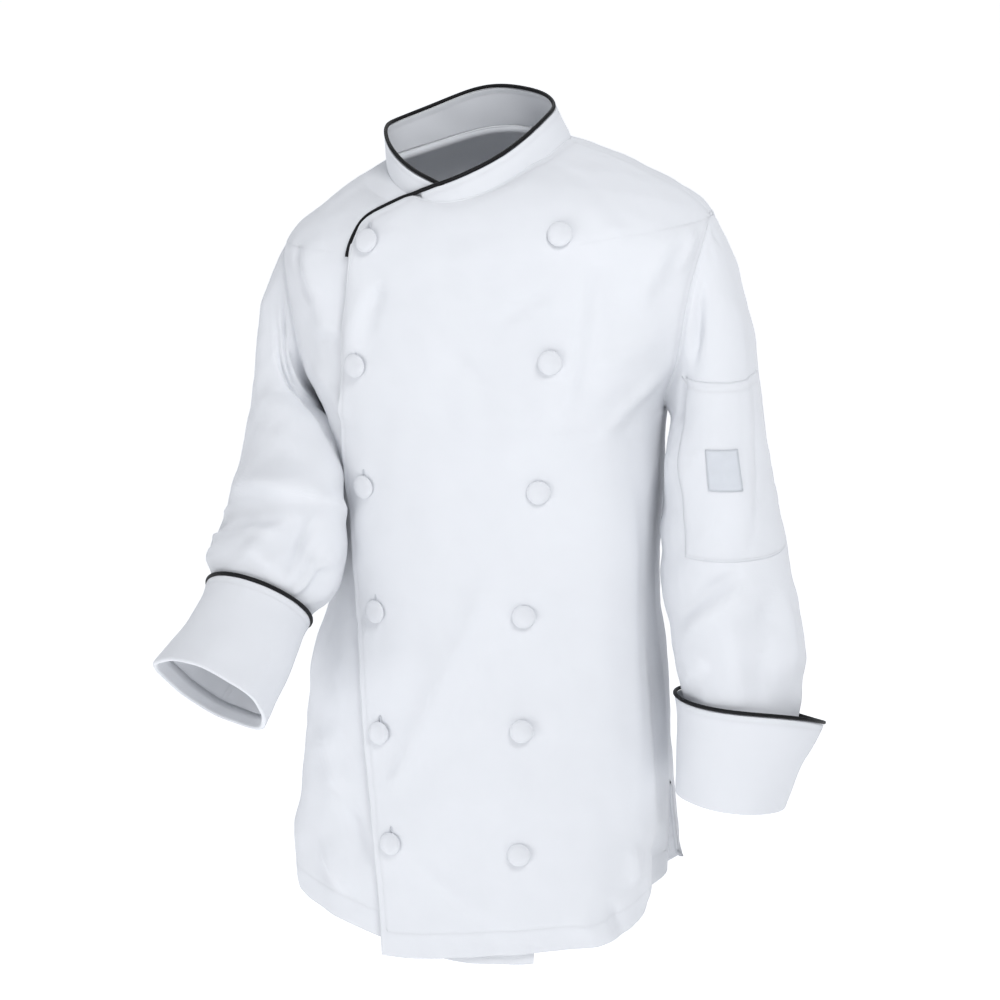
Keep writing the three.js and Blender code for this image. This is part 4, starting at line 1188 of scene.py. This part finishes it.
left_arm, left_arm_out = sleeve_object("left_sleeve", 1, LEFT_SLEEVE, LEFT_FOLDS, LEFT_CREASES)
sleeve_object("right_sleeve", -1, RIGHT_SLEEVE, RIGHT_FOLDS, RIGHT_CREASES)
cuff_object("left_cuff", 1, LEFT_SLEEVE, LEFT_FLARE, LEFT_CUFF)
cuff_object("right_cuff", -1, RIGHT_SLEEVE, RIGHT_FLARE, RIGHT_CUFF)
pocket_object()
label_object()


# Buttons and buttonholes

# A button's outline, as shares of its radius and its height
BUTTON_PROFILE = [(0.86, 0.0), (0.96, 0.10), (1.0, 0.26), (0.985, 0.40), (0.94, 0.54), (0.86, 0.67),
                  (0.74, 0.79), (0.58, 0.89), (0.38, 0.96), (0.18, 0.99)]
BUTTON_SIDES = 40


def seat_on(grid, outside, x, z):
    """The place and direction of the cloth at x and z, as seen from the front."""
    front = outside[..., 1] < -0.2
    gap = np.where(front, np.hypot(grid[..., 0] - x, grid[..., 2] - z), np.inf)
    close = np.argsort(gap, axis=None)[:4]
    weight = 1 / (gap.ravel()[close] + 0.05)
    place = (grid.reshape(-1, 3)[close] * weight[:, None]).sum(0) / weight.sum()
    return place, unit(outside.reshape(-1, 3)[close].mean(0))


def frame_on(out):
    """Directions across and up on a surface that faces out."""
    across = unit(np.cross(np.array([0, 0, 1]), out))
    return across, np.cross(out, across)


def button_object(name, x, z, phase):
    """A cloth-covered button: a dome with its cover gathered under the rim."""
    place, out = seat_on(left_grid, left_out, x, z)
    across, up = frame_on(out)
    place = place + out * BUTTON_GAP
    turn = np.linspace(0, 2 * np.pi, BUTTON_SIDES, endpoint=False)
    round_it = across * np.cos(turn)[:, None] + up * np.sin(turn)[:, None]
    rows = []
    for radius, height in BUTTON_PROFILE:
        gather = 1 + 0.012 * np.sin(17 * turn + phase) * (height < 0.6)
        reach = (radius * BUTTON_RADIUS * gather)[:, None]
        rows.append(place + round_it * reach + out * height * BUTTON_HEIGHT)
    crown = place + out * BUTTON_HEIGHT
    grid = np.array([place + (rows[0] - place) * 0.02, *rows, crown + (rows[-1] - crown) * 0.02])
    bm = close_ends(grid_mesh(grid, np.broadcast_to(out, grid.shape), True))
    jacket_piece(name, bm, COVERED)
    return place, out


def buttonhole_object(name, place, out):
    """A worked buttonhole: a narrow oval of close stitches round a slit, above the button."""
    across, up = frame_on(out)
    turn = np.linspace(0, 2 * np.pi, BUTTON_SIDES, endpoint=False)
    wide, tall = HOLE_WIDTH / 2 * np.cos(turn), HOLE_LENGTH / 2 * np.sin(turn)
    path = place + up * HOLE_RISE - out * 0.1 + across * wide[:, None] + up * tall[:, None]
    tube = tube_grid(path, HOLE_THREAD, 8, True)
    grid, ways = (np.concatenate([values, values[:1]]) for values in tube)
    jacket_piece(name, close_ends(grid_mesh(grid, ways, True)), THREAD, False)


for number in range(BUTTONS_IN_COLUMN):
    near, near_up, far, far_up = (CLOSING[key][-1 - number]
                                  for key in ("near", "near_up", "far", "far_up"))
    place, out = button_object(f"button_edge_{number + 1}", near, near_up, number)
    buttonhole_object(f"buttonhole_{number + 1}", place, out)
    button_object(f"button_chest_{number + 1}", far, far_up, number + 9)


# Studio: a wide white floor far below, soft light from the front and above, white all round

FLOOR_RADIUS, FLOOR_HEIGHT = 40.0, -1.9
LIGHTS = [
    ("key", 43.0, 0.8, (1.25, -1.5, 1.95)),
    ("fill", 15.0, 1.2, (-1.5, -2.2, -1.0)),
    ("rear", 17.0, 1.6, (-0.7, 2.5, 1.9)),
]
SKY_STRENGTH = 0.5
LIGHTS_AIM = Vector((0.0, 0.0, -0.4))
AZIMUTH, ELEVATION, DISTANCE = np.radians(15), np.radians(16), 2.4
CAMERA_AIM = Vector((0, 0, -0.3544))
LENS, SENSOR = 86.4, 36.0


def floor():
    """A white sweep: it glows a little, so that it stays pale under the soft light."""
    material, tree = new_material("white_sweep")
    for key, value in (("Base Color", linear("#f4f5f7")), ("Roughness", 1.0),
                       ("Emission Color", linear("#ffffff")), ("Emission Strength", 0.6)):
        tree.nodes["Principled BSDF"].inputs[key].default_value = value
    bm = bmesh.new()
    bmesh.ops.create_circle(bm, cap_ends=True, segments=96, radius=FLOOR_RADIUS)
    for vertex in bm.verts:
        vertex.co.z = FLOOR_HEIGHT
    make_object("studio_floor", bm, material)


def place_aimed(name, data, location, aim):
    """Puts a light or camera in the scene and turns it to look at a place."""
    made = bpy.data.objects.new(name, data)
    made.location = location
    made.rotation_euler = (aim - Vector(location)).to_track_quat("-Z", "Y").to_euler()
    bpy.context.scene.collection.objects.link(made)
    return made


def light():
    world = bpy.data.worlds.new("studio")
    bpy.context.scene.world = world
    world.use_nodes = True
    background = world.node_tree.nodes["Background"]
    background.inputs[0].default_value = linear("#f6f9ff")
    background.inputs[1].default_value = SKY_STRENGTH
    for name, energy, size, location in LIGHTS:
        data = bpy.data.lights.new(name, "AREA")
        data.energy = energy
        data.size = size
        place_aimed(name, data, location, LIGHTS_AIM)


def camera():
    data = bpy.data.cameras.new("camera")
    data.lens, data.sensor_width = LENS, SENSOR
    level = np.cos(ELEVATION)
    away = Vector((np.sin(AZIMUTH) * level, -np.cos(AZIMUTH) * level, np.sin(ELEVATION)))
    bpy.context.scene.camera = place_aimed("camera", data, CAMERA_AIM + away * DISTANCE, CAMERA_AIM)


floor()
light()
camera()
bpy.context.scene.view_settings.view_transform = "Standard"
bpy.context.scene.view_settings.look = "None"
